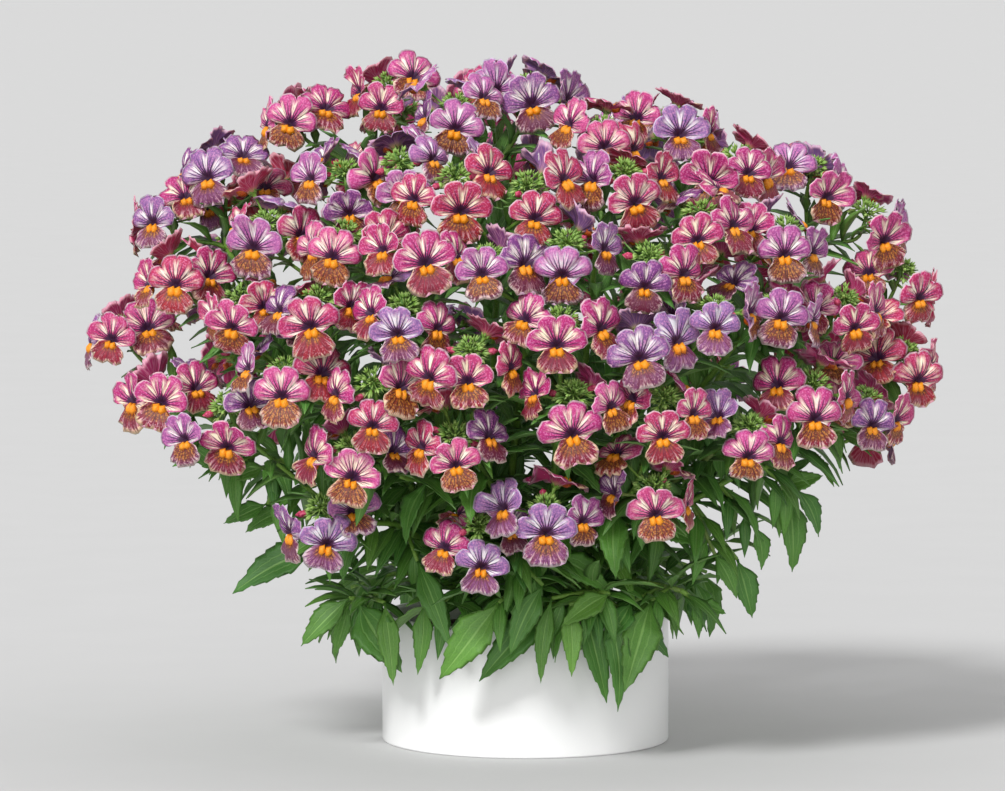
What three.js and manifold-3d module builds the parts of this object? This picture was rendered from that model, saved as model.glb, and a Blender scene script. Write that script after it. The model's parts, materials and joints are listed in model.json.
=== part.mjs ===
// A nemesia in full flower in a low white round pot, in millimetres, +Z up.
// The origin is the middle of the pot's flat underside. The front, where most blooms face, is -Y.
// Leafy stems rise from a crown in the potting soil and each carries a forked spray of two racemes.
// A raceme is a tuft of green buds on its axis, with two-lipped blooms on thin stalks below it.

import * as THREE from "three";
import { mergeVertices } from "three/addons/utils/BufferGeometryUtils.js";
import Module from "manifold-3d";

const wasm = await Module();
wasm.setup();

// Driving sizes
const POT = { radius: 65, height: 58, wall: 3, floor: 4, sides: 36 };
const SOIL = { gap: 0.5, sides: 24, edge: 48, middle: 51, bedRadius: 14.4, bedFloor: 40 };
const CROWN = { radius: 14, bottom: 40.3, shoulder: 51, top: 56, topRadius: 9, roots: 52.5, sides: 12 };
const EYE = { distance: 2500, height: 361 };
const DOME = { x: -6, z: 165, width: 186, front: 158, back: 124, up: 140, down: 112, edge: 26 };
const BLOOM = { radius: 12.5, slots: [0, 75, -75, 145, -150], lowest: 78, steepest: 0.93, tries: 60, stalk: 1.6 };
const RACEME = { bud: 6.4, axisRadius: 1.7, axisLength: 15, rings: [14, 9, 4] };
const FORK = { back: 6, spread: 0.45, stem: 8, length: 4 };
const NEARBY = 24;
const STRIPS_TRIED = 24;
const STEM = { thick: 2.1, thin: 1.5, twig: 1.1 };
const TRUNK = { reach: 0.45, root: 6, bulge: 10, forkStep: 0.3, branchBulge: 12, branchEnd: 8 };
const SHOOT = { swing: 6, root: 8, peak: [84, 100], peakOut: 44, end: [66, 78], endOut: [76, 90] };
const LEAF = {
  thickness: 1.3, fold: 0.3, arch: 0.1, shortest: 26, longest: 40, slimness: 0.33, tries: 10, spare: 0.4,
};
const CLEARANCE = 0.5;
const JOINT_GAP = 0.3;

// A bloom's rim from the top round to the bottom, at one side: angle in degrees, then distance
// from the middle and height towards the viewer, both in bloom radii. Four rounded lobes stand
// above and one broad lip hangs below.
const BLOOM_RIM = [
  [0, 0.8, 0.02], [22, 1, 0.08], [46, 0.76, 0.02], [70, 0.97, 0.06], [100, 0.6, 0], [140, 0.95, 0.16],
];
const THROAT = { up: 0.08, depth: 0.08 };
const PALATE = { down: 0.2, height: 0.12 };
const BLOOM_BACK = { depth: 0.26, radius: 0.12 };
const LIP_CORNER = 4;
const LEAF_NODE = 1.8;
const TUFT = { points: 8, reach: 1.15, notch: 0.6, rise: 2.4 };

// A blade's toothed edge: share of its length, then share of its half width
const LEAF_EDGE = [[0.34, 1], [0.46, 0.78], [0.66, 0.7]];
const LEAF_RIB = 0.42;

// How a raceme stands and looks, and what a bloom on it draws: its turn about the axis and its lean from
// it in degrees, how far below the tip its root is, its size, the length of its stalk, how much of its
// look is its own rather than the raceme's, and its roll in degrees
const RACEME_AXIS = { outward: 0.5, up: 0.85 };
const RACEME_LOOK = { aside: 0.5, front: -90, back: 60, up: 22 };
const BLOOM_DRAW = {
  turn: 14, looseTurn: 60, lean: [68, 100], backLean: 8, below: [5, 13], size: [0.86, 1.06],
  stalk: [13, 17], looseStalk: 9, own: [0.42, 0.75], leastAlong: 0.6, roll: 16,
};

// The balls that keep a bloom's space clear: how many there are round it, how far out in bloom radii,
// how far forward in millimetres, and their radius in bloom radii. Then places along its stalk.
const BLOOM_SPACE = [
  { count: 8, reach: 0.74, forward: 0.5, radius: 0.19 },
  { count: 4, reach: 0.38, forward: -0.7, radius: 0.17 },
  { count: 1, reach: 0, forward: -1.5, radius: 0.24 },
];
const STALK_SPACE = { places: [0.3, 0.6, 0.85], end: -4 };

// What a leaf on a stem draws: its turn about the stem in degrees, its lean and its width
const LEAF_DRAW = {
  turn: 20, looseTurn: 6, along: [0.2, 0.7], up: [-0.5, 0], width: [0.85, 1.15], steepest: 0.95,
};

// Where the pairs of leaves stand, as shares of a stem's length: on the low shoots that end in front
// and on the others, and on the main stems from the crown and on their branches
const SHOOT_LEAVES = { inFront: [0.94], others: [0.6, 0.94], frontEdge: -40 };
const MAIN_LEAVES = { trunk: [0.45, 0.7, 0.9], branch: [0.3, 0.6, 0.85], trunkPoints: 5 };

// Where the tip of each raceme on the front and top shows in the front view: x and height,
// in millimetres on the plane of the pot's axis, seen from EYE.
const FRONT_RACEMES = [
  [-62, 298], [-31, 289], [2, 298], [34, 279], [66, 283], [96, 265], [130, 261], [155, 241],
  [171, 215], [172, 178], [155, 156], [-103, 287], [-139, 262], [-163, 241], [-156, 214],
  [-183, 188], [-163, 160], [-82, 259], [-57, 264], [-32, 257], [1, 253], [45, 259], [80, 241],
  [118, 233], [-117, 236], [-82, 231], [-48, 225], [-17, 221], [19, 227], [56, 221], [-129, 202],
  [-94, 202], [-55, 198], [16, 192], [86, 198], [115, 200], [52, 182], [-25, 178], [-109, 170],
  [-69, 164], [-136, 153], [22, 159], [63, 157], [131, 163], [102, 144], [-79, 134], [-32, 139],
  [59, 116], [9, 107], [-21, 98], [-93, 107], [145, 202],
];
const BACK_RACEMES = { count: 24, lowest: -0.2, highest: 0.98, turn: 2.39996, width: 170, lap: 20 };
const LOW_SHOOTS = 13;

// The leaves that hang below the blooms in the front view: the tip's x and height, the base's
// x and height, and the width, in millimetres on the plane of the pot's axis, seen from EYE.
const HANGING_LEAVES = [
  [-133, 66, -93, 87, 16], [-137, 98, -117, 107, 10], [-102, 42, -80, 64, 12],
  [-87, 37, -80, 62, 9], [-56, 30, -76, 62, 19], [-60, 24, -64, 62, 10], [-49, 29, -46, 62, 9],
  [-34, 41, -49, 81, 11], [-39, 27, -12, 62, 17], [-21, 26, 10, 60, 15], [7, 25, 12, 64, 8],
  [21, 28, 20, 61, 9], [37, 16, 26, 62, 12], [42, 12, 36, 62, 11], [45, 21, 57, 63, 17],
  [65, 37, 42, 60, 12], [36, 44, 48, 62, 10], [16, 51, 38, 66, 11], [39, 66, 12, 84, 13],
  [-5, 80, 13, 93, 11], [-7, 38, 8, 70, 12], [121, 76, 119, 112, 13], [133, 92, 123, 114, 11],
  [135, 120, 117, 116, 9], [103, 55, 96, 82, 12], [107, 77, 104, 97, 9], [96, 64, 86, 84, 10],
  [80, 49, 74, 66, 11], [91, 57, 79, 62, 8], [79, 89, 61, 97, 11], [-160, 124, -139, 130, 8],
  [-147, 125, -128, 131, 8], [-135, 117, -117, 124, 9], [-127, 94, -107, 104, 10],
  [-108, 82, -88, 94, 10], [-156, 138, -136, 122, 8], [161, 130, 142, 139, 9],
];
const HANGING = { tipRing: 82, baseRing: 76, layer: 6, nearest: 45, arch: 0.06 };

// Seeded random numbers. Every raceme, bloom and leaf starts its own run of them with its own number.
const SEED = 67;
let state = 0;
function startDraws(number) {
  state = Math.imul(number + SEED, 2654435761) >>> 0;
}
function between(low, high) {
  state = (Math.imul(state, 1664525) + 1013904223) >>> 0;
  return low + ((high - low) * state) / 4294967296;
}

// Vectors
const V = (x, y, z) => new THREE.Vector3(x, y, z);
const UP = V(0, 0, 1);
const plus = (a, b, k = 1) => a.clone().addScaledVector(b, k);
const minus = (a, b) => a.clone().sub(b);
const unit = (a) => a.clone().normalize();
const cross = (a, b) => V(0, 0, 0).crossVectors(a, b);
const mix = (a, b, k) => a.clone().lerp(b, k);
const radians = (degrees) => (degrees * Math.PI) / 180;
const RING_TURNS = [0, 120, 240].map(radians);

// Two directions square to an axis and to each other
function across(axis) {
  const guide = Math.abs(axis.z) < 0.9 ? UP : V(1, 0, 0);
  const first = unit(cross(guide, axis));
  return [first, cross(axis, first)];
}

// What is already in place, as balls: [centre, radius, owner]. An owner is a raceme's number, or one of
// these three.
const placed = [];
const STEMS = -1;
const LEAVES = -2;
const PLATES = -3;
function blocked(centre, radius, ignored, clearance) {
  return placed.some(
    ([c, r, owner]) =>
      !ignored.includes(owner) && c.distanceTo(centre) < r + radius + clearance,
  );
}

// Whether two faces cross anywhere but at the corners they share
function pierces(p, q, [a, b, c]) {
  const span = minus(q, p);
  const hit = new THREE.Ray(p, unit(span)).intersectTriangle(a, b, c, false, V(0, 0, 0));
  return hit !== null && hit.distanceTo(p) < span.length();
}
function facesCross(f, g, points) {
  const shared = f.filter((i) => g.includes(i));
  if (shared.length > 1) return false;
  return [[f, g], [g, f]].some(([one, other]) =>
    one.some((i, k) => {
      const j = one[(k + 1) % 3];
      if (shared.includes(i) || shared.includes(j)) return false;
      return pierces(points[i], points[j], other.map((n) => points[n]));
    }),
  );
}

// A closed skin of triangles that share their vertices. A ring goes anticlockwise seen from where
// the skin grows to, and so do a face's three points seen from outside.
class Skin {
  constructor() {
    this.points = [];
    this.faces = [];
  }
  add(point) {
    return this.points.push(point) - 1;
  }
  corners(face) {
    return face.map((i) => this.points[i]);
  }
  ring(centre, [e1, e2], radius) {
    return RING_TURNS.map((a) =>
      this.add(plus(plus(centre, e1, radius * Math.cos(a)), e2, radius * Math.sin(a))),
    );
  }
  // The strips of faces that could join a ring of three to a rim, the ones with the shortest edges
  // first. Each ring point gets its own run of rim points, which ends at one of three cuts.
  strips(ring, rim) {
    const n = rim.length;
    const distance = (i, j) => this.points[i].distanceTo(this.points[j]);
    const found = [];
    const trial = (cuts, turn, late) => {
      const owner = (j) => ring[(cuts.filter((cut) => cut <= j % n).length + turn) % 3];
      const faces = [];
      let length = 0;
      rim.forEach((p, j) => {
        const q = rim[(j + 1) % n];
        const [k, l] = [owner(j), owner(j + 1)];
        length += distance(k, p);
        if (k === l) faces.push([k, q, p]);
        else if (late) faces.push([k, q, p], [k, l, q]);
        else faces.push([k, l, p], [l, q, p]);
      });
      found.push({ faces, length });
    };
    for (let a = 0; a < n; a += 1)
      for (let b = a + 1; b < n; b += 1)
        for (let c = b + 1; c < n; c += 1)
          [0, 1, 2].forEach((turn) => [true, false].forEach((late) => trial([a, b, c], turn, late)));
    return found.sort((x, y) => x.length - y.length).slice(0, STRIPS_TRIED);
  }
  // The one of them that crosses least, itself or other faces
  bestStrip(ring, rim, others) {
    let best = null;
    for (const { faces } of this.strips(ring, rim)) {
      const crosses = (f, k) =>
        [...faces.slice(k + 1), ...others].some((g) => facesCross(f, g, this.points));
      const crossed = faces.filter(crosses).length;
      if (!best || crossed < best.crossed) best = { faces, crossed };
      if (crossed === 0) break;
    }
    return best;
  }
  join(ring, rim) {
    this.faces.push(...this.bestStrip(ring, rim, []).faces);
  }
  // Grows a rim out of the one of these faces that suits it best: it is near the stalk's root,
  // looks along the stalk, and what grows from it crosses nothing
  sprout(faces, root, aim, rim) {
    const cost = (face) => {
      const [p, q, r] = this.corners(face);
      const middle = V(0, 0, 0).add(p).add(q).add(r).divideScalar(3);
      const lean = unit(cross(minus(q, p), minus(r, p))).dot(unit(minus(aim, middle)));
      return middle.distanceTo(root) - 6 * lean + (lean < 0.3 ? 100 : 0);
    };
    const near = this.faces.filter((f) => this.corners(f).some((p) => p.distanceTo(root) < NEARBY));
    let best = null;
    for (const face of [...faces].sort((x, y) => cost(x) - cost(y))) {
      const trial = this.bestStrip(face, rim, near.filter((f) => f !== face));
      if (!best || trial.crossed < best.crossed) best = { face, ...trial };
      if (best.crossed === 0) break;
    }
    faces.splice(faces.indexOf(best.face), 1);
    this.faces.splice(this.faces.indexOf(best.face), 1);
    this.faces.push(...best.faces);
  }
  solid() {
    return solidOf(
      new Float32Array(this.points.flatMap((p) => [p.x, p.y, p.z])),
      new Uint32Array(this.faces.flat()),
    );
  }
}

function solidOf(vertProperties, triVerts) {
  return new wasm.Manifold(new wasm.Mesh({ numProp: 3, vertProperties, triVerts }));
}

function solidOfGeometry(geometry) {
  const bare = geometry.clone();
  bare.deleteAttribute("normal");
  bare.deleteAttribute("uv");
  const merged = mergeVertices(bare, 1e-4);
  return solidOf(merged.attributes.position.array, new Uint32Array(merged.index.array));
}

function geometryOf(solid) {
  const mesh = solid.getMesh();
  const geometry = new THREE.BufferGeometry();
  geometry.setAttribute("position", new THREE.BufferAttribute(mesh.vertProperties, 3));
  geometry.setIndex(new THREE.BufferAttribute(mesh.triVerts, 1));
  geometry.computeVertexNormals();
  return geometry;
}

function solidOfSkin(build) {
  const skin = new Skin();
  build(skin);
  return skin.solid();
}

const joined = (solids) => solids.reduce((sum, solid) => sum.add(solid));

// Rings of three round the points of a path from one of them on, mitred at its bends, without twist
function ringsAlong(skin, path, radii, from = 0, firstSide = null) {
  const last = path.length - 1;
  let e1 = firstSide;
  return path
    .map((p, i) => {
      const before = unit(minus(p, path[Math.max(i - 1, 0)]));
      const after = unit(minus(path[Math.min(i + 1, last)], p));
      const tangent = unit(plus(before, after));
      e1 = unit(e1 ? plus(e1, tangent, -e1.dot(tangent)) : across(tangent)[0]);
      return i < from ? null : skin.ring(p, [e1, cross(tangent, e1)], radii[i]);
    })
    .slice(from);
}

// Racemes: where each one's bud tuft is, its axis, and the way its blooms look
function outwardAt(p) {
  const depth = p.y < 0 ? DOME.front : DOME.back;
  const tall = p.z > DOME.z ? DOME.up : DOME.down;
  return unit(
    V((p.x - DOME.x) / DOME.width ** 2, p.y / depth ** 2, (p.z - DOME.z) / tall ** 2),
  );
}

function frontRaceme([x, height], i) {
  startDraws(i);
  const u = (x - DOME.x) / DOME.width;
  const w = (height - DOME.z) / (height > DOME.z ? DOME.up : DOME.down);
  const forward = DOME.front * Math.sqrt(Math.max(0, 1 - u * u - w * w));
  const y = -Math.max(DOME.edge, forward) + between(-12, 8);
  const near = 1 + y / EYE.distance;
  return V(x * near, y, EYE.height + (height - EYE.height) * near);
}

// The back racemes near the dome's edge lap forward, to meet the front ones
function backRaceme(i) {
  startDraws(100 + i);
  const { count, lowest, highest, turn, width, lap } = BACK_RACEMES;
  const w = lowest + ((highest - lowest) * (i + 0.5)) / count;
  const level = Math.sqrt(1 - w * w);
  const share = ((i * turn) / Math.PI) % 1;
  const around = radians(14 + 152 * share);
  const tall = w > 0 ? DOME.up : DOME.down;
  const jitter = between(0.93, 1);
  const back = level * Math.sin(around);
  return V(
    DOME.x + width * level * Math.cos(around) * jitter,
    DOME.back * back * jitter - lap * (1 - back) ** 2,
    DOME.z + tall * w * jitter,
  );
}

const tips = FRONT_RACEMES.map(frontRaceme);
for (let i = 0; i < BACK_RACEMES.count; i += 1) tips.push(backRaceme(i));
const racemes = tips.map((tip, i) => {
  const front = i < FRONT_RACEMES.length;
  const outward = outwardAt(tip);
  const look = RACEME_LOOK;
  return {
    tip,
    axis: unit(plus(outward.clone().multiplyScalar(RACEME_AXIS.outward), UP, RACEME_AXIS.up)),
    face: unit(V((tip.x - DOME.x) * look.aside, tip.y + (front ? look.front : look.back), look.up)),
    blooms: [],
  };
});

// Neighbours in groups: each first one left over takes its nearest ones
function nearestGroups(points, size) {
  const left = points.map((_, i) => i);
  const groups = [];
  while (left.length) {
    const first = left.shift();
    left.sort((a, b) => points[a].distanceTo(points[first]) - points[b].distanceTo(points[first]));
    groups.push([first, ...left.splice(0, size - 1)]);
    left.sort((a, b) => a - b);
  }
  return groups;
}

const heart = V(0, 0, CROWN.top);
const foot = (r) => plus(r.tip, r.axis, -RACEME.axisLength);
const sprays = nearestGroups(tips, 2).map(([a, b]) => {
  const middle = mix(foot(racemes[a]), foot(racemes[b]), 0.5);
  const inward = unit(minus(heart, middle));
  const apart = foot(racemes[a]).distanceTo(foot(racemes[b]));
  const fork = plus(middle, inward, FORK.back + FORK.spread * apart);
  return { pair: [a, b], fork, end: plus(fork, inward, FORK.stem) };
});

// Stems: mains from the crown, each forking to a few sprays, and low shoots over the pot's rim
function curve(a, b, bulge, steps) {
  const control = plus(mix(a, b, 0.5), UP, bulge);
  return Array.from({ length: steps + 1 }, (_, i) => {
    const t = i / steps;
    return mix(mix(a, control, t), mix(control, b, t), t);
  });
}

// Each main stem goes on into one of its sprays, and the others fork off it
const mains = nearestGroups(sprays.map((s) => s.end), 3).flatMap((group) => {
  const aim = group.reduce((sum, s) => plus(sum, sprays[s].end, 1 / group.length), V(0, 0, 0));
  const start = V(aim.x, aim.y, 0).clampLength(0, TRUNK.root).setZ(CROWN.roots);
  const trunk = curve(start, mix(heart, aim, TRUNK.reach), TRUNK.bulge, 2);
  return group.map((s, k) => {
    const { end, fork } = sprays[s];
    const inward = unit(minus(end, fork));
    const from = mix(trunk[2], trunk[1], TRUNK.forkStep * k);
    const bulge = k === 0 ? 0 : TRUNK.branchBulge;
    const branch = curve(from, plus(end, inward, TRUNK.branchEnd), bulge, 2);
    const path = [...branch, plus(end, inward, JOINT_GAP)];
    return k === 0 ? [trunk[0], trunk[1], ...path] : path;
  });
});
const shoots = Array.from({ length: LOW_SHOOTS }, (_, i) => {
  startDraws(200 + i);
  const a = radians(-90 + (360 * i) / LOW_SHOOTS + between(-SHOOT.swing, SHOOT.swing));
  const way = V(Math.cos(a), Math.sin(a), 0);
  const start = plus(V(0, 0, CROWN.roots), way, SHOOT.root);
  const peak = plus(V(0, 0, between(...SHOOT.peak)), way, SHOOT.peakOut);
  const end = plus(V(0, 0, between(...SHOOT.end)), way, between(...SHOOT.endOut));
  return [0, 0.35, 0.7, 1].map((t) => mix(mix(start, peak, t), mix(peak, end, t), t));
});

function fillPath(path, radius, owner) {
  const step = 4;
  path.slice(1).forEach((p, i) => {
    const n = Math.max(1, Math.ceil(p.distanceTo(path[i]) / step));
    for (let k = 1; k <= n; k += 1) placed.push([mix(path[i], p, k / n), radius, owner]);
  });
}
const stemPaths = [...mains, ...shoots];
stemPaths.forEach((path) => fillPath(path, STEM.thick, STEMS));
racemes.forEach((r, i) => placed.push([plus(r.tip, r.axis, 1), RACEME.bud, i]));
sprays.forEach(({ pair: [a, b], fork, end }) => {
  fillPath([racemes[a].tip, foot(racemes[a]), fork, end], RACEME.axisRadius, a);
  fillPath([racemes[b].tip, foot(racemes[b]), fork], RACEME.axisRadius, b);
});

// Leaves: each is a base, a tip, the way its upper face looks, its width and how far it arches
function leafFrame({ base, tip, face, width, arch }) {
  const along = minus(tip, base);
  const length = along.length();
  along.normalize();
  const normal = unit(plus(face, along, -face.dot(along)));
  const side = cross(along, normal);
  return (t, s, lift) => {
    const half = (s * width) / 2;
    const rise = arch * length * 4 * t * (1 - t) + LEAF.fold * Math.abs(half) + lift;
    return plus(plus(plus(base, along, length * t), side, half), normal, rise);
  };
}

function leafBalls(leaf) {
  const at = leafFrame(leaf);
  return [0.25, 0.45, 0.65, 0.85, 1].flatMap((t) => {
    const share = t < 0.5 ? 0.9 : 1.35 * (1.05 - t);
    const radius = 0.16 * leaf.width * share + 0.7;
    return [-0.6, 0, 0.6].map((s) => [at(t, s * share, 0), radius]);
  });
}

function inPot(p, radius) {
  const out = Math.hypot(p.x, p.y);
  return p.z - radius < POT.height + 1 && out - radius < POT.radius + 1;
}

const leaves = [];
function addLeaf(leaf) {
  leaves.push(leaf);
  leafBalls(leaf).forEach(([c, r]) => placed.push([c, r, LEAVES]));
}

function nearestOnStems(point, way) {
  let best = null;
  stemPaths.forEach((path) =>
    path.slice(1).forEach((p, i) => {
      for (let t = 0; t <= 1; t += 0.125) {
        const q = mix(path[i], p, t);
        const bend = unit(minus(point, q)).dot(unit(way));
        const far = q.distanceTo(point) + 30 * Math.max(0, 0.3 - bend);
        if (!best || far < best.far) best = { q, far };
      }
    }),
  );
  return best.q;
}

const hangings = HANGING_LEAVES.map(([tipX, tipHeight, baseX, baseHeight, width], i) => {
  const place = (x, height, ring) => {
    const y = -Math.sqrt(Math.max(HANGING.nearest ** 2, ring ** 2 - x * x)) - HANGING.layer * (i % 3);
    const near = 1 + y / EYE.distance;
    return V(x * near, y, EYE.height + (height - EYE.height) * near);
  };
  const base = place(baseX, baseHeight, HANGING.baseRing);
  const tip = place(tipX, tipHeight, HANGING.tipRing);
  const twig = [nearestOnStems(base, minus(tip, base)), base];
  const leaf = { base, tip, face: V(base.x * 0.4, -80, 45), width, arch: HANGING.arch };
  fillPath(twig, STEM.twig, LEAVES);
  addLeaf(leaf);
  return { twig, leaf };
});

// Blooms: the space one needs, as balls round its rim, round its throat and along its stalk
function bloomBalls({ centre, face, up, size, root }) {
  const right = cross(up, face);
  const at = (x, y, z) => plus(plus(plus(centre, right, x), up, y), face, z);
  const plate = BLOOM_SPACE.flatMap(({ count, reach, forward, radius }) =>
    Array.from({ length: count }, (_, i) => {
      const a = (2 * Math.PI * i) / count;
      return [at(reach * size * Math.sin(a), reach * size * Math.cos(a), forward), radius * size];
    }),
  );
  const back = at(0, 0, STALK_SPACE.end);
  const stalk = STALK_SPACE.places.map((t) => [mix(root, back, t), BLOOM.stalk]);
  return { plate, stalk };
}

// One draw of a bloom's place. Later tries are looser about its turn and its distance.
function drawBloom({ tip, axis, face }, slot, loose) {
  const side = unit(plus(face, axis, -face.dot(axis)));
  const other = cross(axis, side);
  const draw = BLOOM_DRAW;
  const turn = radians(slot + between(-1, 1) * (draw.turn + draw.looseTurn * loose));
  const lean = radians(between(...draw.lean) - draw.backLean * (1 - Math.cos(turn)));
  const spread = plus(side.clone().multiplyScalar(Math.cos(turn)), other, Math.sin(turn));
  const stalk = plus(axis.clone().multiplyScalar(Math.cos(lean)), spread, Math.sin(lean));
  const root = plus(tip, axis, -between(...draw.below) * (0.75 + 0.25 * Math.cos(turn)));
  const size = BLOOM.radius * between(...draw.size);
  const centre = plus(root, stalk, between(draw.stalk[0], draw.stalk[1] + draw.looseStalk * loose));
  const looking = (own) => unit(plus(stalk.clone().multiplyScalar(own), face, 1 - own));
  let own = between(...draw.own);
  while (looking(own).dot(stalk) < draw.leastAlong) own += 0.05;
  const look = looking(own);
  const roll = radians(between(-draw.roll, draw.roll));
  const upright = unit(plus(UP, look, -UP.dot(look)));
  const up = plus(upright.clone().multiplyScalar(Math.cos(roll)), cross(look, upright), Math.sin(roll));
  return { centre, face: look, up, size, root };
}

const blooms = [];
BLOOM.slots.forEach((slot, k) => {
  racemes.forEach((raceme, owner) => {
    startDraws(1000 * (k + 1) + owner);
    for (let attempt = 0; attempt < BLOOM.tries; attempt += 1) {
      const bloom = drawBloom(raceme, slot, attempt / BLOOM.tries);
      const { plate, stalk } = bloomBalls(bloom);
      if (bloom.centre.z < BLOOM.lowest || Math.abs(bloom.face.z) > BLOOM.steepest) continue;
      if (plate.some(([c, r]) => blocked(c, r, [], CLEARANCE))) continue;
      if (stalk.some(([c, r]) => blocked(c, r, [owner], CLEARANCE))) continue;
      plate.forEach(([c, r]) => placed.push([c, r, PLATES]));
      stalk.forEach(([c, r]) => placed.push([c, r, owner]));
      raceme.blooms.push(bloom);
      blooms.push(bloom);
      break;
    }
  });
});

// Leaves in pairs along a stem, where there is room for them. Returns them by their place on it.
function leafPairs(path, number, places) {
  return places.map((place, pair) => {
    const span = place * (path.length - 1);
    const i = Math.min(Math.floor(span), path.length - 2);
    const base = mix(path[i], path[i + 1], span - i);
    const tangent = unit(minus(path[i + 1], path[i]));
    const [e1, e2] = across(tangent);
    const grown = [];
    [0, 180].forEach((half) => {
      startDraws(9000 + 40 * number + 4 * pair + half / 90);
      for (let attempt = 0; attempt < LEAF.tries; attempt += 1) {
        const turn = LEAF_DRAW.turn + LEAF_DRAW.looseTurn * attempt;
        const a = radians(half + 90 * pair + between(-1, 1) * turn);
        const spread = plus(e1.clone().multiplyScalar(Math.cos(a)), e2, Math.sin(a));
        const ahead = plus(spread, tangent, between(...LEAF_DRAW.along));
        const way = unit(plus(ahead, UP, between(...LEAF_DRAW.up)));
        const length = between(LEAF.shortest, LEAF.longest);
        const width = length * LEAF.slimness * between(...LEAF_DRAW.width);
        const leaf = { base, tip: plus(base, way, length), face: UP, width, arch: LEAF.arch };
        if (Math.abs(way.z) > LEAF_DRAW.steepest) continue;
        const balls = leafBalls(leaf).slice(2).map(([c, r]) => [c, r + LEAF.spare]);
        if (balls.some(([c, r]) => inPot(c, r) || blocked(c, r, [], CLEARANCE))) continue;
        addLeaf(leaf);
        grown.push(leaf);
        break;
      }
    });
    return { segment: i, base, tangent, grown };
  });
}
const shootNodes = shoots.map((path, i) => {
  const { inFront, others, frontEdge } = SHOOT_LEAVES;
  return leafPairs(path, i, path[3].y < frontEdge ? inFront : others);
});
const mainNodes = mains.map((path, i) => {
  const { trunk, branch, trunkPoints } = MAIN_LEAVES;
  return leafPairs(path, LOW_SHOOTS + i, path.length >= trunkPoints ? trunk : branch);
});

// Solids. A spray is one skin: its stalks grow out of faces of its axis.
function growBloom(skin, faces, { centre, face, up, size, root }) {
  const right = cross(up, face);
  const at = (x, y, z) => plus(plus(plus(centre, right, x * size), up, y * size), face, z * size);
  const behind = at(0, 0, -BLOOM_BACK.depth);
  const back = skin.ring(behind, [right, up], BLOOM_BACK.radius * size);
  skin.sprout(faces, root, behind, back);

  const left = BLOOM_RIM.map(([degrees, r, z]) => [-radians(degrees), r, z]);
  const others = left.slice(1).reverse().map(([a, r, z]) => [-a, r, z]);
  const rim = [...left, ...others].map(([a, r, z]) => skin.add(at(r * Math.sin(a), r * Math.cos(a), z)));
  skin.join(back, rim);

  const throat = skin.add(at(0, THROAT.up, -THROAT.depth));
  const palate = skin.add(at(0, -PALATE.down, PALATE.height));
  const otherCorner = rim.length - LIP_CORNER;
  rim.forEach((p, i) => {
    const low = i >= LIP_CORNER && i < otherCorner;
    skin.faces.push([low ? palate : throat, p, rim[(i + 1) % rim.length]]);
  });
  skin.faces.push([palate, throat, rim[LIP_CORNER]], [throat, palate, rim[otherCorner]]);
}

function growTuft(skin, ring, { tip, axis }) {
  const [e1, e2] = across(axis);
  const star = Array.from({ length: TUFT.points }, (_, i) => {
    const a = (2 * Math.PI * i) / TUFT.points;
    const bud = i % 2 === 0;
    const r = RACEME.bud * (bud ? TUFT.reach : TUFT.notch);
    const side = plus(plus(tip, e1, r * Math.cos(a)), e2, r * Math.sin(a));
    return skin.add(plus(side, axis, bud ? TUFT.rise : 0));
  });
  skin.join(ring, star);
  const top = skin.add(plus(tip, axis, RACEME.bud * TUFT.reach));
  star.forEach((p, i) => skin.faces.push([p, star[(i + 1) % star.length], top]));
}

function growRaceme(skin, raceme, stalk, start) {
  const { tip, axis, face } = raceme;
  const path = [...stalk, ...RACEME.rings.map((down) => plus(tip, axis, -down))];
  const radii = path.map(() => RACEME.axisRadius);
  const rings = ringsAlong(skin, path, radii, stalk.length, face);
  start(rings[0]);
  const known = skin.faces.length;
  rings.slice(1).forEach((ring, i) => skin.join(rings[i], ring));
  const faces = skin.faces.slice(known);
  growTuft(skin, rings[rings.length - 1], raceme);
  raceme.blooms.forEach((bloom) => growBloom(skin, faces, bloom));
}

function spraySolid({ pair: [a, b], fork, end }) {
  const [first, second] = [racemes[a], racemes[b]];
  return solidOfSkin((skin) => {
    const way = plus(unit(minus(fork, end)), unit(minus(foot(first), fork)));
    const above = plus(fork, unit(way), FORK.length);
    const path = [end, fork, above, foot(first)];
    const radii = path.map(() => RACEME.axisRadius);
    const [low, middle, high] = ringsAlong(skin, path.slice(0, 3), radii, 0, first.face);
    skin.faces.push([...low].reverse());
    skin.join(low, middle);
    skin.join(middle, high);
    const forkFaces = skin.faces.slice(-6);
    growRaceme(skin, first, [fork, above], (ring) => skin.join(high, ring));
    growRaceme(skin, second, [fork], (ring) => skin.sprout(forkFaces, above, foot(second), ring));
  });
}

function growLeaf(skin, leaf, start) {
  const at = leafFrame(leaf);
  const tip = skin.add(at(1, 0, 0));
  const [above, below] = [1, -1].map((face) => skin.add(at(LEAF_RIB, 0, (face * LEAF.thickness) / 2)));
  const [right, left] = [1, -1].map((s) => LEAF_EDGE.map(([t, w]) => skin.add(at(t, s * w, 0))));
  start([above, right[0], below, left[0]]);
  [[right, above, below], [left, below, above]].forEach(([edge, front, back]) => {
    const line = [...edge, tip];
    line.slice(1).forEach((q, i) => skin.faces.push([line[i], q, front], [q, line[i], back]));
  });
}

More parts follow.
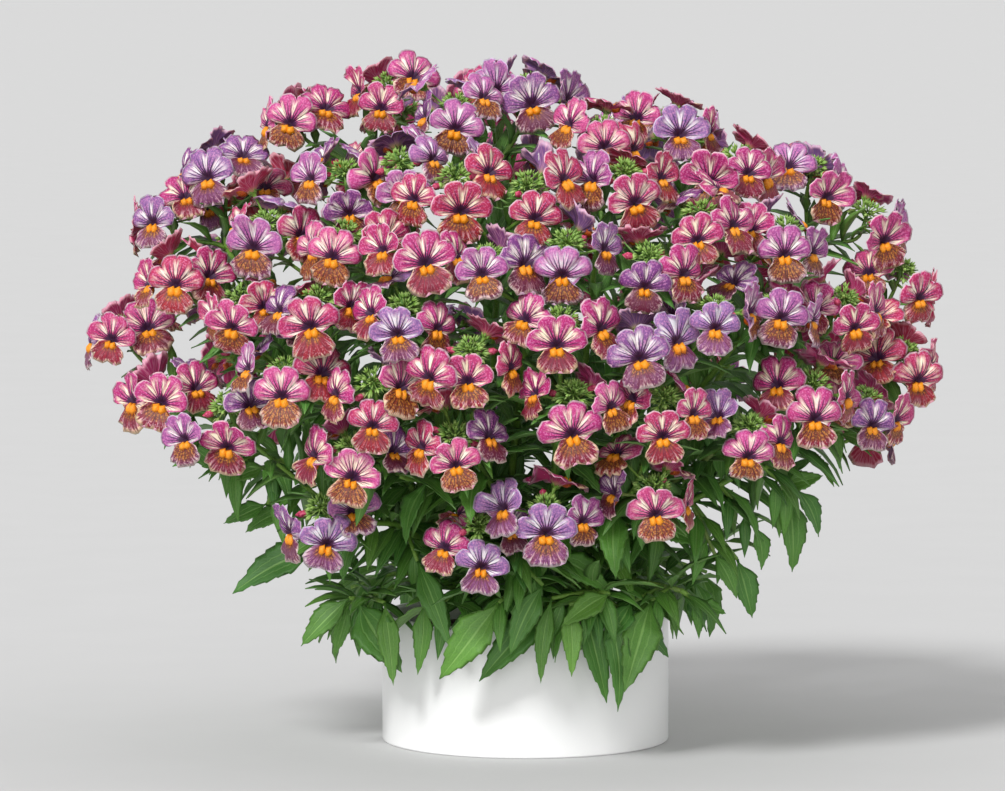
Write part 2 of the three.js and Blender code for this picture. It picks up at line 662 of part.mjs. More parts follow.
function leafyStem(path, nodes, thick, thin) {
  return solidOfSkin((skin) => {
    const points = path.map((p, i) => {
      const here = nodes.filter((node) => node.segment === i);
      const ends = ({ base, tangent }) => [-1, 1].map((s) => plus(base, tangent, s * LEAF_NODE));
      return [p, ...here.flatMap(ends)];
    });
    const line = points.flat();
    const radii = line.map((_, i) => thick + ((thin - thick) * i) / (line.length - 1));
    const rings = ringsAlong(skin, line, radii);
    rings.slice(1).forEach((ring, i) => skin.join(rings[i], ring));
    skin.faces.push([...rings[0]].reverse(), rings[rings.length - 1]);
    nodes.forEach(({ base, grown }) => {
      const first = rings.findIndex((_, i) => line[i].distanceTo(base) < 1.01 * LEAF_NODE);
      const around = [...rings[first], ...rings[first + 1]];
      const faces = skin.faces.filter((face) => face.every((i) => around.includes(i)));
      grown.forEach((leaf) =>
        growLeaf(skin, leaf, (rim) => skin.sprout(faces, base, leaf.tip, rim)),
      );
    });
  });
}

function hangingLeaf({ twig, leaf }) {
  return solidOfSkin((skin) => {
    const radii = [STEM.twig, STEM.twig, STEM.twig];
    const [root, end] = ringsAlong(skin, [...twig, leaf.tip], radii);
    skin.faces.push([...root].reverse());
    skin.join(root, end);
    growLeaf(skin, leaf, (rim) => skin.join(end, rim));
  });
}

function lathe(profile, sides) {
  const points = profile.map(([r, z]) => new THREE.Vector2(r, z));
  return new THREE.LatheGeometry(points, sides).rotateX(Math.PI / 2);
}

function crownSolid() {
  const { radius, bottom, shoulder, top, topRadius, sides } = CROWN;
  const profile = [[0, bottom], [radius, bottom], [radius, shoulder], [topRadius, top], [0, top]];
  return solidOfGeometry(lathe(profile, sides));
}

function leafyStemsSolid() {
  return joined([
    crownSolid(),
    ...mains.map((path, i) => leafyStem(path, mainNodes[i], STEM.thick, STEM.thin)),
    ...shoots.map((path, i) => leafyStem(path, shootNodes[i], STEM.thin, STEM.twig)),
    ...hangings.map(hangingLeaf),
  ]);
}

function potGeometry() {
  const { radius, height, wall, floor, sides } = POT;
  const inner = radius - wall;
  return lathe([[0, 0], [radius, 0], [radius, height], [inner, height], [inner, floor], [0, floor]], sides);
}

function soilGeometry() {
  const radius = POT.radius - POT.wall - SOIL.gap;
  const bottom = POT.floor + SOIL.gap;
  const { edge, middle, bedRadius, bedFloor } = SOIL;
  const profile = [
    [0, bottom], [radius, bottom], [radius, edge], [bedRadius, middle], [bedRadius, bedFloor], [0, bedFloor],
  ];
  return lathe(profile, SOIL.sides);
}

// The finished part
const WHITE = 0xf4f4f2;
const EARTH = 0x3a2c20;
const GREEN = 0x4f7a36;
const PETALS = [0xc0507e, 0xa85a9a, 0xc86a70];

const part = new THREE.Group();
function addPiece(name, geometry, color, roughness) {
  const material = new THREE.MeshStandardMaterial({ color, roughness, metalness: 0 });
  const mesh = new THREE.Mesh(geometry, material);
  mesh.name = name;
  part.add(mesh);
}
addPiece("pot", potGeometry(), WHITE, 0.25);
addPiece("soil", soilGeometry(), EARTH, 0.95);
addPiece("leafy_stems", geometryOf(leafyStemsSolid()), GREEN, 0.6);
sprays.forEach((spray, i) => {
  const name = `flower_spray_${String(i + 1).padStart(2, "0")}`;
  addPiece(name, geometryOf(spraySolid(spray)), PETALS[i % PETALS.length], 0.55);
});

export default part;
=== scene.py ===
# A nemesia in full flower in a low white round pot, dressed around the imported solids.
# Sizes are in millimetres on the frame's own axes, and MM turns them into Blender's metres.
# Stems, leaves and blooms are laid out by the same rules and the same seeded draws as the solids,
# so each fine piece lies where its solid does. Shapes, materials, light and camera follow.

import json
import math
from types import SimpleNamespace as Group

import bpy
import numpy as np
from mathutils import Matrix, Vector, noise


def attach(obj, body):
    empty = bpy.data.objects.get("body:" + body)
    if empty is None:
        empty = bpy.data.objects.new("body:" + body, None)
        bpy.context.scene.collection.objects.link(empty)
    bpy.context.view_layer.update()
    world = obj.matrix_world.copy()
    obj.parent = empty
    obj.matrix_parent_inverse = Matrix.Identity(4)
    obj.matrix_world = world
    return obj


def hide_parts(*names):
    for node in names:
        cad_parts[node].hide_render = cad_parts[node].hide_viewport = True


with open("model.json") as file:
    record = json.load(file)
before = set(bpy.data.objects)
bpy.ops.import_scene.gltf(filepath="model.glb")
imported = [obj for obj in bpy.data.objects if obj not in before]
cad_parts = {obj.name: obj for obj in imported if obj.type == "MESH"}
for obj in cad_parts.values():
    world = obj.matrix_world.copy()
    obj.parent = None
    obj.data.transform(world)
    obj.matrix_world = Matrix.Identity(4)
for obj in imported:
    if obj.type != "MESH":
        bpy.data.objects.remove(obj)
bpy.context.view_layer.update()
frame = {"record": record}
MM = 0.001

# The layout's driving sizes, as in the solids
POT_RADIUS, POT_HEIGHT, POT_WALL, POT_FLOOR = 65, 58, 3, 4
CROWN_TOP, CROWN_ROOTS = 56, 52.5
EYE_DISTANCE, EYE_HEIGHT = 2500, 361
DOME = Group(x=-6, z=165, width=186, front=158, back=124, up=140, down=112, edge=26)
BLOOM_RADIUS, BLOOM_SLOTS, BLOOM_LOWEST, BLOOM_STEEPEST = 12.5, [0, 75, -75, 145, -150], 78, 0.93
BLOOM_TRIES, BLOOM_STALK = 60, 1.6
BUD_RADIUS, AXIS_RADIUS, AXIS_LENGTH = 6.4, 1.7, 15
FORK_BACK, FORK_SPREAD, FORK_STEM, FORK_LENGTH = 6, 0.45, 8, 4
STEM_THICK, STEM_TWIG = 2.1, 1.1
TRUNK = Group(reach=0.45, root=6, bulge=10, fork_step=0.3, branch_bulge=12, end=8)
SHOOT = Group(swing=6, root=8, peak=(84, 100), peak_out=44, end=(66, 78), end_out=(76, 90))
LEAF_FOLD, LEAF_ARCH, LEAF_LENGTH, LEAF_SLIMNESS, LEAF_TRIES, LEAF_SPARE = 0.3, 0.1, (26, 40), 0.33, 10, 0.4
CLEARANCE, JOINT_GAP = 0.5, 0.3
RACEME_AXIS_OUTWARD, RACEME_AXIS_UP = 0.5, 0.85
RACEME_LOOK = Group(aside=0.5, front=-90, back=60, up=22)
BLOOM_DRAW = Group(
    turn=14, loose_turn=60, lean=(68, 100), back_lean=8, below=(5, 13), size=(0.86, 1.06),
    stalk=(13, 17), loose_stalk=9, own=(0.42, 0.75), least_along=0.6, roll=16,
)
# Balls that keep a bloom's space clear: count, reach and radius in bloom radii, millimetres forward
BLOOM_SPACE = [(8, 0.74, 0.19, 0.5), (4, 0.38, 0.17, -0.7), (1, 0, 0.24, -1.5)]
STALK_SPACE, STALK_SPACE_END = (0.3, 0.6, 0.85), -4
LEAF_DRAW = Group(turn=20, loose_turn=6, along=(0.2, 0.7), up=(-0.5, 0), width=(0.85, 1.15))
LEAF_STEEPEST = 0.95
# Where the pairs of leaves stand, as shares of the length of a low shoot or a main stem
SHOOT_LEAVES, SHOOT_FRONT_EDGE = {"in_front": [0.94], "others": [0.6, 0.94]}, -40
MAIN_LEAVES, TRUNK_POINTS = {"trunk": [0.45, 0.7, 0.9], "branch": [0.3, 0.6, 0.85]}, 5
GOLDEN_TURN = 2.39996

# Where the tip of each raceme on the front and top shows in the front view: x and height,
# on the plane of the pot's axis, seen from the eye
FRONT_RACEMES = [
    (-62, 298), (-31, 289), (2, 298), (34, 279), (66, 283), (96, 265), (130, 261), (155, 241),
    (171, 215), (172, 178), (155, 156), (-103, 287), (-139, 262), (-163, 241), (-156, 214),
    (-183, 188), (-163, 160), (-82, 259), (-57, 264), (-32, 257), (1, 253), (45, 259), (80, 241),
    (118, 233), (-117, 236), (-82, 231), (-48, 225), (-17, 221), (19, 227), (56, 221), (-129, 202),
    (-94, 202), (-55, 198), (16, 192), (86, 198), (115, 200), (52, 182), (-25, 178), (-109, 170),
    (-69, 164), (-136, 153), (22, 159), (63, 157), (131, 163), (102, 144), (-79, 134), (-32, 139),
    (59, 116), (9, 107), (-21, 98), (-93, 107), (145, 202),
]
FRONT_DEPTHS = (-12, 8)
BACK_RACEMES = Group(
    count=24, lowest=-0.2, highest=0.98, turn=GOLDEN_TURN, side=14, span=152, jitter=(0.93, 1), width=170,
    lap=20,
)
LOW_SHOOTS = 13

# Leaves that hang below the blooms in the front view: the tip's x and height, the base's x and
# height, and the width, on the plane of the pot's axis, seen from the eye
HANGING_LEAVES = [
    (-133, 66, -93, 87, 16), (-137, 98, -117, 107, 10), (-102, 42, -80, 64, 12),
    (-87, 37, -80, 62, 9), (-56, 30, -76, 62, 19), (-60, 24, -64, 62, 10), (-49, 29, -46, 62, 9),
    (-34, 41, -49, 81, 11), (-39, 27, -12, 62, 17), (-21, 26, 10, 60, 15), (7, 25, 12, 64, 8),
    (21, 28, 20, 61, 9), (37, 16, 26, 62, 12), (42, 12, 36, 62, 11), (45, 21, 57, 63, 17),
    (65, 37, 42, 60, 12), (36, 44, 48, 62, 10), (16, 51, 38, 66, 11), (39, 66, 12, 84, 13),
    (-5, 80, 13, 93, 11), (-7, 38, 8, 70, 12), (121, 76, 119, 112, 13), (133, 92, 123, 114, 11),
    (135, 120, 117, 116, 9), (103, 55, 96, 82, 12), (107, 77, 104, 97, 9), (96, 64, 86, 84, 10),
    (80, 49, 74, 66, 11), (91, 57, 79, 62, 8), (79, 89, 61, 97, 11), (-160, 124, -139, 130, 8),
    (-147, 125, -128, 131, 8), (-135, 117, -117, 124, 9), (-127, 94, -107, 104, 10),
    (-108, 82, -88, 94, 10), (-156, 138, -136, 122, 8), (161, 130, 142, 139, 9),
]
HANGING = Group(tip_ring=82, base_ring=76, layer=6, nearest=45, arch=0.06, aside=0.4, forward=-80, up=45)
TWIG_STEPS, TWIG_LEAST_AHEAD, TWIG_BACK_COST = 8, 0.3, 30

# Seeded draws: every raceme, bloom and leaf starts its own run of them with its own number
SEED = 67
WORD = 0xFFFFFFFF
draw_state = 0


def start_draws(number):
    global draw_state
    draw_state = ((number + SEED) * 2654435761) & WORD


def between(low, high):
    global draw_state
    draw_state = (draw_state * 1664525 + 1013904223) & WORD
    return low + ((high - low) * draw_state) / (WORD + 1)


# Vectors
def vec(x, y, z):
    return np.array([x, y, z], float)


UP = vec(0, 0, 1)


def dot(a, b):
    return a[0] * b[0] + a[1] * b[1] + a[2] * b[2]


def length(a):
    return math.sqrt(dot(a, a))


def unit(a):
    return a / length(a)


def cross(a, b):
    return vec(a[1] * b[2] - a[2] * b[1], a[2] * b[0] - a[0] * b[2], a[0] * b[1] - a[1] * b[0])


def mix(a, b, k):
    return a + (b - a) * k


# A point of the curve from a to b that a corner between them pulls
def arched(a, corner, b, t):
    return mix(mix(a, corner, t), mix(corner, b, t), t)


# The direction at an angle from the first towards the second, which stands square to it
def swing(first, second, angle):
    return first * math.cos(angle) + second * math.sin(angle)


def square_to(axis):
    guide = UP if abs(axis[2]) < 0.9 else vec(1, 0, 0)
    first = unit(cross(guide, axis))
    return first, cross(axis, first)


# What is already in place, as balls with an owner: a raceme's number or one of these
STEMS, LEAVES, PLATES, NOBODY = -1, -2, -3, -9
balls = np.zeros((16000, 5))
ball_count = 0


def place_ball(centre, radius, owner):
    global ball_count
    balls[ball_count] = (*centre, radius, owner)
    ball_count += 1


def blocked(centre, radius, ignored=NOBODY):
    rows = balls[:ball_count]
    far = np.sqrt(((rows[:, :3] - centre) ** 2).sum(axis=1))
    return bool(((far < rows[:, 3] + radius + CLEARANCE) & (rows[:, 4] != ignored)).any())


# Racemes: where each one's bud tuft is, its axis, and the way its blooms look
def seen_at(x, height, y):
    near = 1 + y / EYE_DISTANCE
    return vec(x * near, y, EYE_HEIGHT + (height - EYE_HEIGHT) * near)


def outward_at(p):
    depth = DOME.front if p[1] < 0 else DOME.back
    tall = DOME.up if p[2] > DOME.z else DOME.down
    return unit(vec((p[0] - DOME.x) / DOME.width ** 2, p[1] / depth**2, (p[2] - DOME.z) / tall**2))


def front_raceme(number, x, height):
    start_draws(number)
    u = (x - DOME.x) / DOME.width
    w = (height - DOME.z) / (DOME.up if height > DOME.z else DOME.down)
    forward = DOME.front * math.sqrt(max(0, 1 - u * u - w * w))
    y = -max(DOME.edge, forward) + between(*FRONT_DEPTHS)
    return seen_at(x, height, y)


# The back racemes near the dome's edge lap forward, to meet the front ones
def back_raceme(number):
    start_draws(100 + number)
    rule = BACK_RACEMES
    w = rule.lowest + ((rule.highest - rule.lowest) * (number + 0.5)) / rule.count
    level = math.sqrt(1 - w * w)
    share = ((number * rule.turn) / math.pi) % 1
    around = math.radians(rule.side + rule.span * share)
    tall = DOME.up if w > 0 else DOME.down
    jitter = between(*rule.jitter)
    back = level * math.sin(around)
    return vec(
        DOME.x + rule.width * level * math.cos(around) * jitter,
        DOME.back * back * jitter - rule.lap * (1 - back) ** 2,
        DOME.z + tall * w * jitter,
    )


def raceme_at(tip, front):
    outward = outward_at(tip)
    depth = RACEME_LOOK.front if front else RACEME_LOOK.back
    face = unit(vec((tip[0] - DOME.x) * RACEME_LOOK.aside, tip[1] + depth, RACEME_LOOK.up))
    axis = unit(outward * RACEME_AXIS_OUTWARD + UP * RACEME_AXIS_UP)
    return Group(tip=tip, axis=axis, face=face, blooms=[])


racemes = [raceme_at(front_raceme(i, *place), True) for i, place in enumerate(FRONT_RACEMES)]
racemes += [raceme_at(back_raceme(i), False) for i in range(BACK_RACEMES.count)]


def foot(raceme):
    return raceme.tip - raceme.axis * AXIS_LENGTH


def nearest_groups(points, size):
    left = list(range(len(points)))
    groups = []
    while left:
        first = left.pop(0)
        left.sort(key=lambda i: length(points[i] - points[first]))
        groups.append([first, *left[: size - 1]])
        left = sorted(left[size - 1 :])
    return groups


heart = vec(0, 0, CROWN_TOP)


def spray_of(pair):
    first, second = (foot(racemes[i]) for i in pair)
    middle = mix(first, second, 0.5)
    inward = unit(heart - middle)
    fork = middle + inward * (FORK_BACK + FORK_SPREAD * length(first - second))
    return Group(pair=pair, fork=fork, end=fork + inward * FORK_STEM)


sprays = [spray_of(pair) for pair in nearest_groups([r.tip for r in racemes], 2)]


# Stems: mains from the crown, each forking to a few sprays, and low shoots over the pot's rim
def curve(a, b, bulge, steps):
    control = mix(a, b, 0.5) + UP * bulge
    return [arched(a, control, b, i / steps) for i in range(steps + 1)]


def main_stems(group):
    aim = sum(sprays[s].end * (1 / len(group)) for s in group)
    out = math.hypot(aim[0], aim[1])
    near = min(out, TRUNK.root) / out
    start = vec(aim[0] * near, aim[1] * near, CROWN_ROOTS)
    trunk = curve(start, mix(heart, aim, TRUNK.reach), TRUNK.bulge, 2)
    stems = []
    for k, s in enumerate(group):
        end = sprays[s].end
        inward = unit(end - sprays[s].fork)
        start = mix(trunk[2], trunk[1], TRUNK.fork_step * k)
        bulge = TRUNK.branch_bulge if k else 0
        branch = curve(start, end + inward * TRUNK.end, bulge, 2)
        stems.append(([] if k else trunk[:2]) + branch + [end + inward * JOINT_GAP])
    return stems


def low_shoot(number):
    start_draws(200 + number)
    swing = between(-SHOOT.swing, SHOOT.swing)
    a = math.radians(-90 + (360 * number) / LOW_SHOOTS + swing)
    way = vec(math.cos(a), math.sin(a), 0)
    start = vec(0, 0, CROWN_ROOTS) + way * SHOOT.root
    peak = vec(0, 0, between(*SHOOT.peak)) + way * SHOOT.peak_out
    end = vec(0, 0, between(*SHOOT.end)) + way * between(*SHOOT.end_out)
    return [arched(start, peak, end, t) for t in (0, 0.35, 0.7, 1)]


mains = [stem for group in nearest_groups([s.end for s in sprays], 3) for stem in main_stems(group)]
shoots = [low_shoot(i) for i in range(LOW_SHOOTS)]
stem_paths = mains + shoots


def fill_path(path, radius, owner, step=4):
    for a, b in zip(path, path[1:]):
        n = max(1, math.ceil(length(b - a) / step))
        for k in range(1, n + 1):
            place_ball(mix(a, b, k / n), radius, owner)


for stem in stem_paths:
    fill_path(stem, STEM_THICK, STEMS)
for i, raceme in enumerate(racemes):
    place_ball(raceme.tip + raceme.axis, BUD_RADIUS, i)
for spray in sprays:
    a, b = spray.pair
    fork = spray.fork
    fill_path([racemes[a].tip, foot(racemes[a]), fork, spray.end], AXIS_RADIUS, a)
    fill_path([racemes[b].tip, foot(racemes[b]), fork], AXIS_RADIUS, b)


# Leaves: each is a base, a tip, the way its upper face looks, its width and how far it arches
def leaf_axes(leaf):
    along = leaf.tip - leaf.base
    long = length(along)
    along = along / long
    normal = unit(leaf.face - along * dot(leaf.face, along))
    return long, along, cross(along, normal), normal


def leaf_frame(leaf):
    long, along, side, normal = leaf_axes(leaf)

    def at(t, s, lift):
        half = (s * leaf.width) / 2
        rise = leaf.arch * long * 4 * t * (1 - t) + LEAF_FOLD * abs(half) + lift
        return leaf.base + along * (long * t) + side * half + normal * rise

    return at


def leaf_balls(leaf):
    at = leaf_frame(leaf)
    found = []
    for t in (0.25, 0.45, 0.65, 0.85, 1):
        share = 0.9 if t < 0.5 else 1.35 * (1.05 - t)
        radius = 0.16 * leaf.width * share + 0.7
        found += [(at(t, s * share, 0), radius) for s in (-0.6, 0, 0.6)]
    return found


def in_pot(p, radius):
    return p[2] - radius < POT_HEIGHT + 1 and math.hypot(p[0], p[1]) - radius < POT_RADIUS + 1


leaves = []


def add_leaf(leaf):
    leaves.append(leaf)
    for centre, radius in leaf_balls(leaf):
        place_ball(centre, radius, LEAVES)


def nearest_on_stems(point, way):
    best, best_far = None, math.inf
    for path in stem_paths:
        for a, b in zip(path, path[1:]):
            for k in range(TWIG_STEPS + 1):
                q = mix(a, b, k / TWIG_STEPS)
                ahead = dot(unit(point - q), unit(way))
                far = length(q - point) + TWIG_BACK_COST * max(0, TWIG_LEAST_AHEAD - ahead)
                if far < best_far:
                    best, best_far = q, far
    return best


def hanging_leaf(number, tip_x, tip_height, base_x, base_height, width):
    def place(x, height, ring):
        out = math.sqrt(max(HANGING.nearest ** 2, ring**2 - x * x))
        return seen_at(x, height, -out - HANGING.layer * (number % 3))

    base = place(base_x, base_height, HANGING.base_ring)
    tip = place(tip_x, tip_height, HANGING.tip_ring)
    twig = [nearest_on_stems(base, tip - base), base]
    fill_path(twig, STEM_TWIG, LEAVES)
    face = vec(base[0] * HANGING.aside, HANGING.forward, HANGING.up)
    add_leaf(Group(base=base, tip=tip, face=face, width=width, arch=HANGING.arch))
    return twig


twigs = [hanging_leaf(i, *row) for i, row in enumerate(HANGING_LEAVES)]


# Blooms: the space one needs, as balls round its rim, round its throat and along its stalk
def bloom_frame(bloom):
    right = cross(bloom.up, bloom.face)

    def at(x, y, z):
        return bloom.centre + right * x + bloom.up * y + bloom.face * z

    return at


def bloom_balls(bloom):
    at = bloom_frame(bloom)
    size = bloom.size
    plate = []
    for count, reach, radius, forward in BLOOM_SPACE:
        for a in (2 * math.pi * i / count for i in range(count)):
            x, y = reach * size * math.sin(a), reach * size * math.cos(a)
            plate.append((at(x, y, forward), radius * size))
    back = at(0, 0, STALK_SPACE_END)
    return plate, [(mix(bloom.root, back, t), BLOOM_STALK) for t in STALK_SPACE]


def draw_bloom(raceme, slot, loose):
    rule = BLOOM_DRAW
    tip, axis, face = raceme.tip, raceme.axis, raceme.face
    side = unit(face - axis * dot(face, axis))
    other = cross(axis, side)
    turn = math.radians(slot + between(-1, 1) * (rule.turn + rule.loose_turn * loose))
    lean = math.radians(between(*rule.lean) - rule.back_lean * (1 - math.cos(turn)))
    stalk = swing(axis, swing(side, other, turn), lean)
    root = tip - axis * (between(*rule.below) * (0.75 + 0.25 * math.cos(turn)))
    size = BLOOM_RADIUS * between(*rule.size)
    centre = root + stalk * between(rule.stalk[0], rule.stalk[1] + rule.loose_stalk * loose)

    def looking(own):
        return unit(stalk * own + face * (1 - own))

    own = between(*rule.own)
    while dot(looking(own), stalk) < rule.least_along:
        own += 0.05
    look = looking(own)
    roll = math.radians(between(-rule.roll, rule.roll))
    upright = unit(UP - look * dot(UP, look))
    up = swing(upright, cross(look, upright), roll)
    return Group(centre=centre, face=look, up=up, size=size, root=root)


def place_bloom(raceme, owner, slot):
    for attempt in range(BLOOM_TRIES):
        bloom = draw_bloom(raceme, slot, attempt / BLOOM_TRIES)
        if bloom.centre[2] < BLOOM_LOWEST or abs(bloom.face[2]) > BLOOM_STEEPEST:
            continue
        plate, stalk = bloom_balls(bloom)
        if any(blocked(c, r) for c, r in plate) or any(blocked(c, r, owner) for c, r in stalk):
            continue
        for centre, radius in plate:
            place_ball(centre, radius, PLATES)
        for centre, radius in stalk:
            place_ball(centre, radius, owner)
        raceme.blooms.append(bloom)
        return


for k, slot in enumerate(BLOOM_SLOTS):
    for owner, raceme in enumerate(racemes):
        start_draws(1000 * (k + 1) + owner)
        place_bloom(raceme, owner, slot)


# Leaves in pairs along a stem, where there is room for them
def leaf_pair(path, number, pair, place):
    span = place * (len(path) - 1)
    i = min(math.floor(span), len(path) - 2)
    base = mix(path[i], path[i + 1], span - i)
    tangent = unit(path[i + 1] - path[i])
    e1, e2 = square_to(tangent)
    for half in (0, 180):
        start_draws(9000 + 40 * number + 4 * pair + half // 90)
        for attempt in range(LEAF_TRIES):
            turn = LEAF_DRAW.turn + LEAF_DRAW.loose_turn * attempt
            a = math.radians(half + 90 * pair + between(-1, 1) * turn)
            ahead = swing(e1, e2, a) + tangent * between(*LEAF_DRAW.along)
            way = unit(ahead + UP * between(*LEAF_DRAW.up))
            long = between(*LEAF_LENGTH)
            width = long * LEAF_SLIMNESS * between(*LEAF_DRAW.width)
            leaf = Group(base=base, tip=base + way * long, face=UP, width=width, arch=LEAF_ARCH)
            if abs(way[2]) > LEAF_STEEPEST:
                continue
            space = [(c, r + LEAF_SPARE) for c, r in leaf_balls(leaf)[2:]]
            if any(in_pot(c, r) or blocked(c, r) for c, r in space):
                continue
            add_leaf(leaf)
            break


for i, path in enumerate(shoots):
    places = SHOOT_LEAVES["in_front" if path[3][1] < SHOOT_FRONT_EDGE else "others"]
    for pair, place in enumerate(places):
        leaf_pair(path, i, pair, place)
for i, path in enumerate(mains):
    places = MAIN_LEAVES["trunk" if len(path) >= TRUNK_POINTS else "branch"]
    for pair, place in enumerate(places):
        leaf_pair(path, LOW_SHOOTS + i, pair, place)


# Makes a Blender object from a mesh, a light or a camera, and puts it into the scene
def new_object(name, data):
    made = bpy.data.objects.new(name, data)
    bpy.context.scene.collection.objects.link(made)
    return made


# Shapes. A piece gathers closed shapes and becomes one Blender object. Each of its points carries
# "place", where it lies on its petal or leaf, and "tint", what varies from one bloom to the next.
class Piece:
    def __init__(self, name, slot, materials, nodes=()):
        self.name, self.slot, self.materials, self.nodes = name, slot, materials, nodes
        self.points, self.faces, self.kinds, self.place, self.tint = [], [], [], [], []
        self.count = 0

    def add(self, points, parts, place=(0, 0, 0), tint=(0, 0, 0)):
        for faces, kind in parts:
            self.faces += (faces + self.count).tolist()
            self.kinds += [kind] * len(faces)
        self.points.append(points)
        self.place.append(np.broadcast_to(place, points.shape))
        self.tint.append(np.broadcast_to(tint, points.shape))
        self.count += len(points)

    def make(self):
        mesh = bpy.data.meshes.new(self.name)
        mesh.from_pydata((np.concatenate(self.points) * MM).tolist(), [], self.faces)
        mesh.polygons.foreach_set("material_index", self.kinds)
        mesh.polygons.foreach_set("use_smooth", [True] * len(self.faces))
        for name, values in (("place", self.place), ("tint", self.tint)):
            layer = mesh.attributes.new(name, "FLOAT_VECTOR", "POINT")
            layer.data.foreach_set("vector", np.concatenate(values).astype(np.float32).ravel())
        for material in self.materials:
            mesh.materials.append(material)
        mesh.update()
        made = new_object(self.name, mesh)
        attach(made, "root")
        if self.nodes:
            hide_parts(*self.nodes)


# Quads between neighbouring rows of points, and triangles from a row to one point
def grid(rows, columns, closed=True):
    row = np.arange(rows - 1)[:, None] * columns
    column = np.arange(columns if closed else columns - 1)
    after = (column + 1) % columns
    corners = [row + column, row + after, row + columns + after, row + columns + column]
    return np.stack(np.broadcast_arrays(*corners), axis=-1).reshape(-1, 4)


def fan(point, start, columns, flipped=False):
    column = np.arange(columns)
    after = (column + 1) % columns
    ends = (after, column) if flipped else (column, after)
    return np.stack([np.full(columns, point), start + ends[1], start + ends[0]], axis=-1)


# The faces of a closed shape: rows of columns from end to end, then the two end points
def closed_faces(rows, columns):
    count = rows * columns
    ends = fan(count, 0, columns), fan(count + 1, count - columns, columns, True)
    return [grid(rows, columns), *ends]


def angles_round(count):
    return 2 * math.pi * np.arange(count) / count


# A tube along a path, with a radius for each of its points and, where wanted, four ridges
def add_tube(piece, path, radii, kind=0, sides=8, ridge=0.0, tint=(0, 0, 0)):
    angles = angles_round(sides)
    swell = 1 + ridge * np.cos(4 * angles)
    side = None
    rings = []
    for i, p in enumerate(path):
        tangent = unit(path[min(i + 1, len(path) - 1)] - path[max(i - 1, 0)])
        side = square_to(tangent)[0] if side is None else unit(side - tangent * dot(side, tangent))
        other = cross(tangent, side)
        spokes = np.outer(np.cos(angles) * swell, side) + np.outer(np.sin(angles) * swell, other)
        rings.append(p + spokes * radii[i])
    points = np.concatenate([*rings, [path[0], path[-1]]])
    along = np.repeat(np.linspace(0, 1, len(path)), sides)
    place = np.zeros(points.shape)
    place[: len(along), 1] = along
    place[-1, 1] = 1
    piece.add(points, [(f, kind) for f in closed_faces(len(path), sides)], place, tint)


# A path with its corners rounded
def rounded(path, cut=0.3, steps=4):
    made = [path[0]]
    for before, corner, after in zip(path, path[1:], path[2:]):
        a, b = mix(corner, before, cut), mix(corner, after, cut)
        made += [arched(a, corner, b, k / steps) for k in range(steps + 1)]
    return made + [path[-1]]


def tapered(path, start, end):
    return np.linspace(start, end, len(path))


# The corolla: four upper lobes and the lip, as angles from the top, half widths, reach and the
# depth of the notch before and after each, in bloom radii
LOBES = [
    (-76, 30, 1.0, 0.42, 0.74), (-23, 23, 1.02, 0.74, 0.8),
    (23, 23, 1.02, 0.8, 0.74), (76, 30, 1.0, 0.74, 0.42),
]
LIP = (180, 62, 1.06, 0.46, 0.46)
LOBE_COLUMNS, LIP_COLUMNS = 8, 16
FRONT_ROWS = np.array([0.1, 0.22, 0.36, 0.52, 0.69, 0.86, 1.0])
BACK_ROWS = np.array([0.84, 0.45])
TUBE_RADIUS, TUBE_DEPTH, TUBE_END = 0.17, -0.13, -0.27
MOUTH, MOUTH_DEPTH = -0.06, -0.16
BLOOM_FULLNESS = 1.07
LIP_NOTCH = Group(depth=0.2, share=(0.3, 1.1), width=0.24)
# How a bloom's lobes curl back, and its lip cups and juts out. Tilt and reach vary by lobe.
HABIT = Group(reflex=(-0.2, 0.26), cup=(-0.08, 0.34), thrust=(0.06, 0.42), tilt=0.11, reach=0.03)
PALATE = Group(aside=0.105, down=0.26, forward=0.04, radii=(0.14, 0.19, 0.17), scallop=0.14)
PETAL_THICKNESS = 0.03

# Kinds of surface in a piece of petals
UPPER, LOWER, BEHIND, THROAT = 0, 1, 2, 3


def corolla_columns():
    rows = []
    for number, (middle, half, reach, before, after) in enumerate([*LOBES, LIP]):
        count = LIP_COLUMNS if number == len(LOBES) else LOBE_COLUMNS
        u = -np.cos(math.pi * np.arange(count) / count)
        notch = before + (after - before) * (u + 1) / 2
        rows.append(np.stack([np.full(count, number), u, middle + half * u, notch, np.full(count, reach)]))
    return np.concatenate(rows, axis=1)


LOBE, ACROSS, ANGLE, NOTCH, REACH = corolla_columns()
LOBE = LOBE.astype(int)
IS_LIP = LOBE == len(LOBES)
COLUMNS = len(LOBE)
SHOULDER = np.where(IS_LIP, 3.4, 2.4)
RUFFLE = np.where(IS_LIP, 0.03, 0.014)
FOLDED_ANGLE = np.where(ANGLE > 180, 360 - ANGLE, np.abs(ANGLE)) / 180


def corolla_faces():
    rows = len(FRONT_ROWS) + len(BACK_ROWS) + 1
    quads = grid(rows, COLUMNS)
    front = quads[: (len(FRONT_ROWS) - 1) * COLUMNS]
    back = quads[(len(FRONT_ROWS) - 1) * COLUMNS :]
    lip = np.tile(IS_LIP, len(FRONT_ROWS) - 1)
    total = rows * COLUMNS
    mouth = fan(total, 0, COLUMNS)
    end = fan(total + 1, total - COLUMNS, COLUMNS, True)
    return [
        (front[~lip], UPPER), (front[lip], LOWER), (back, BEHIND), (mouth[~IS_LIP], UPPER),
        (mouth[IS_LIP], LOWER), (end, BEHIND),
    ]


COROLLA_FACES = corolla_faces()


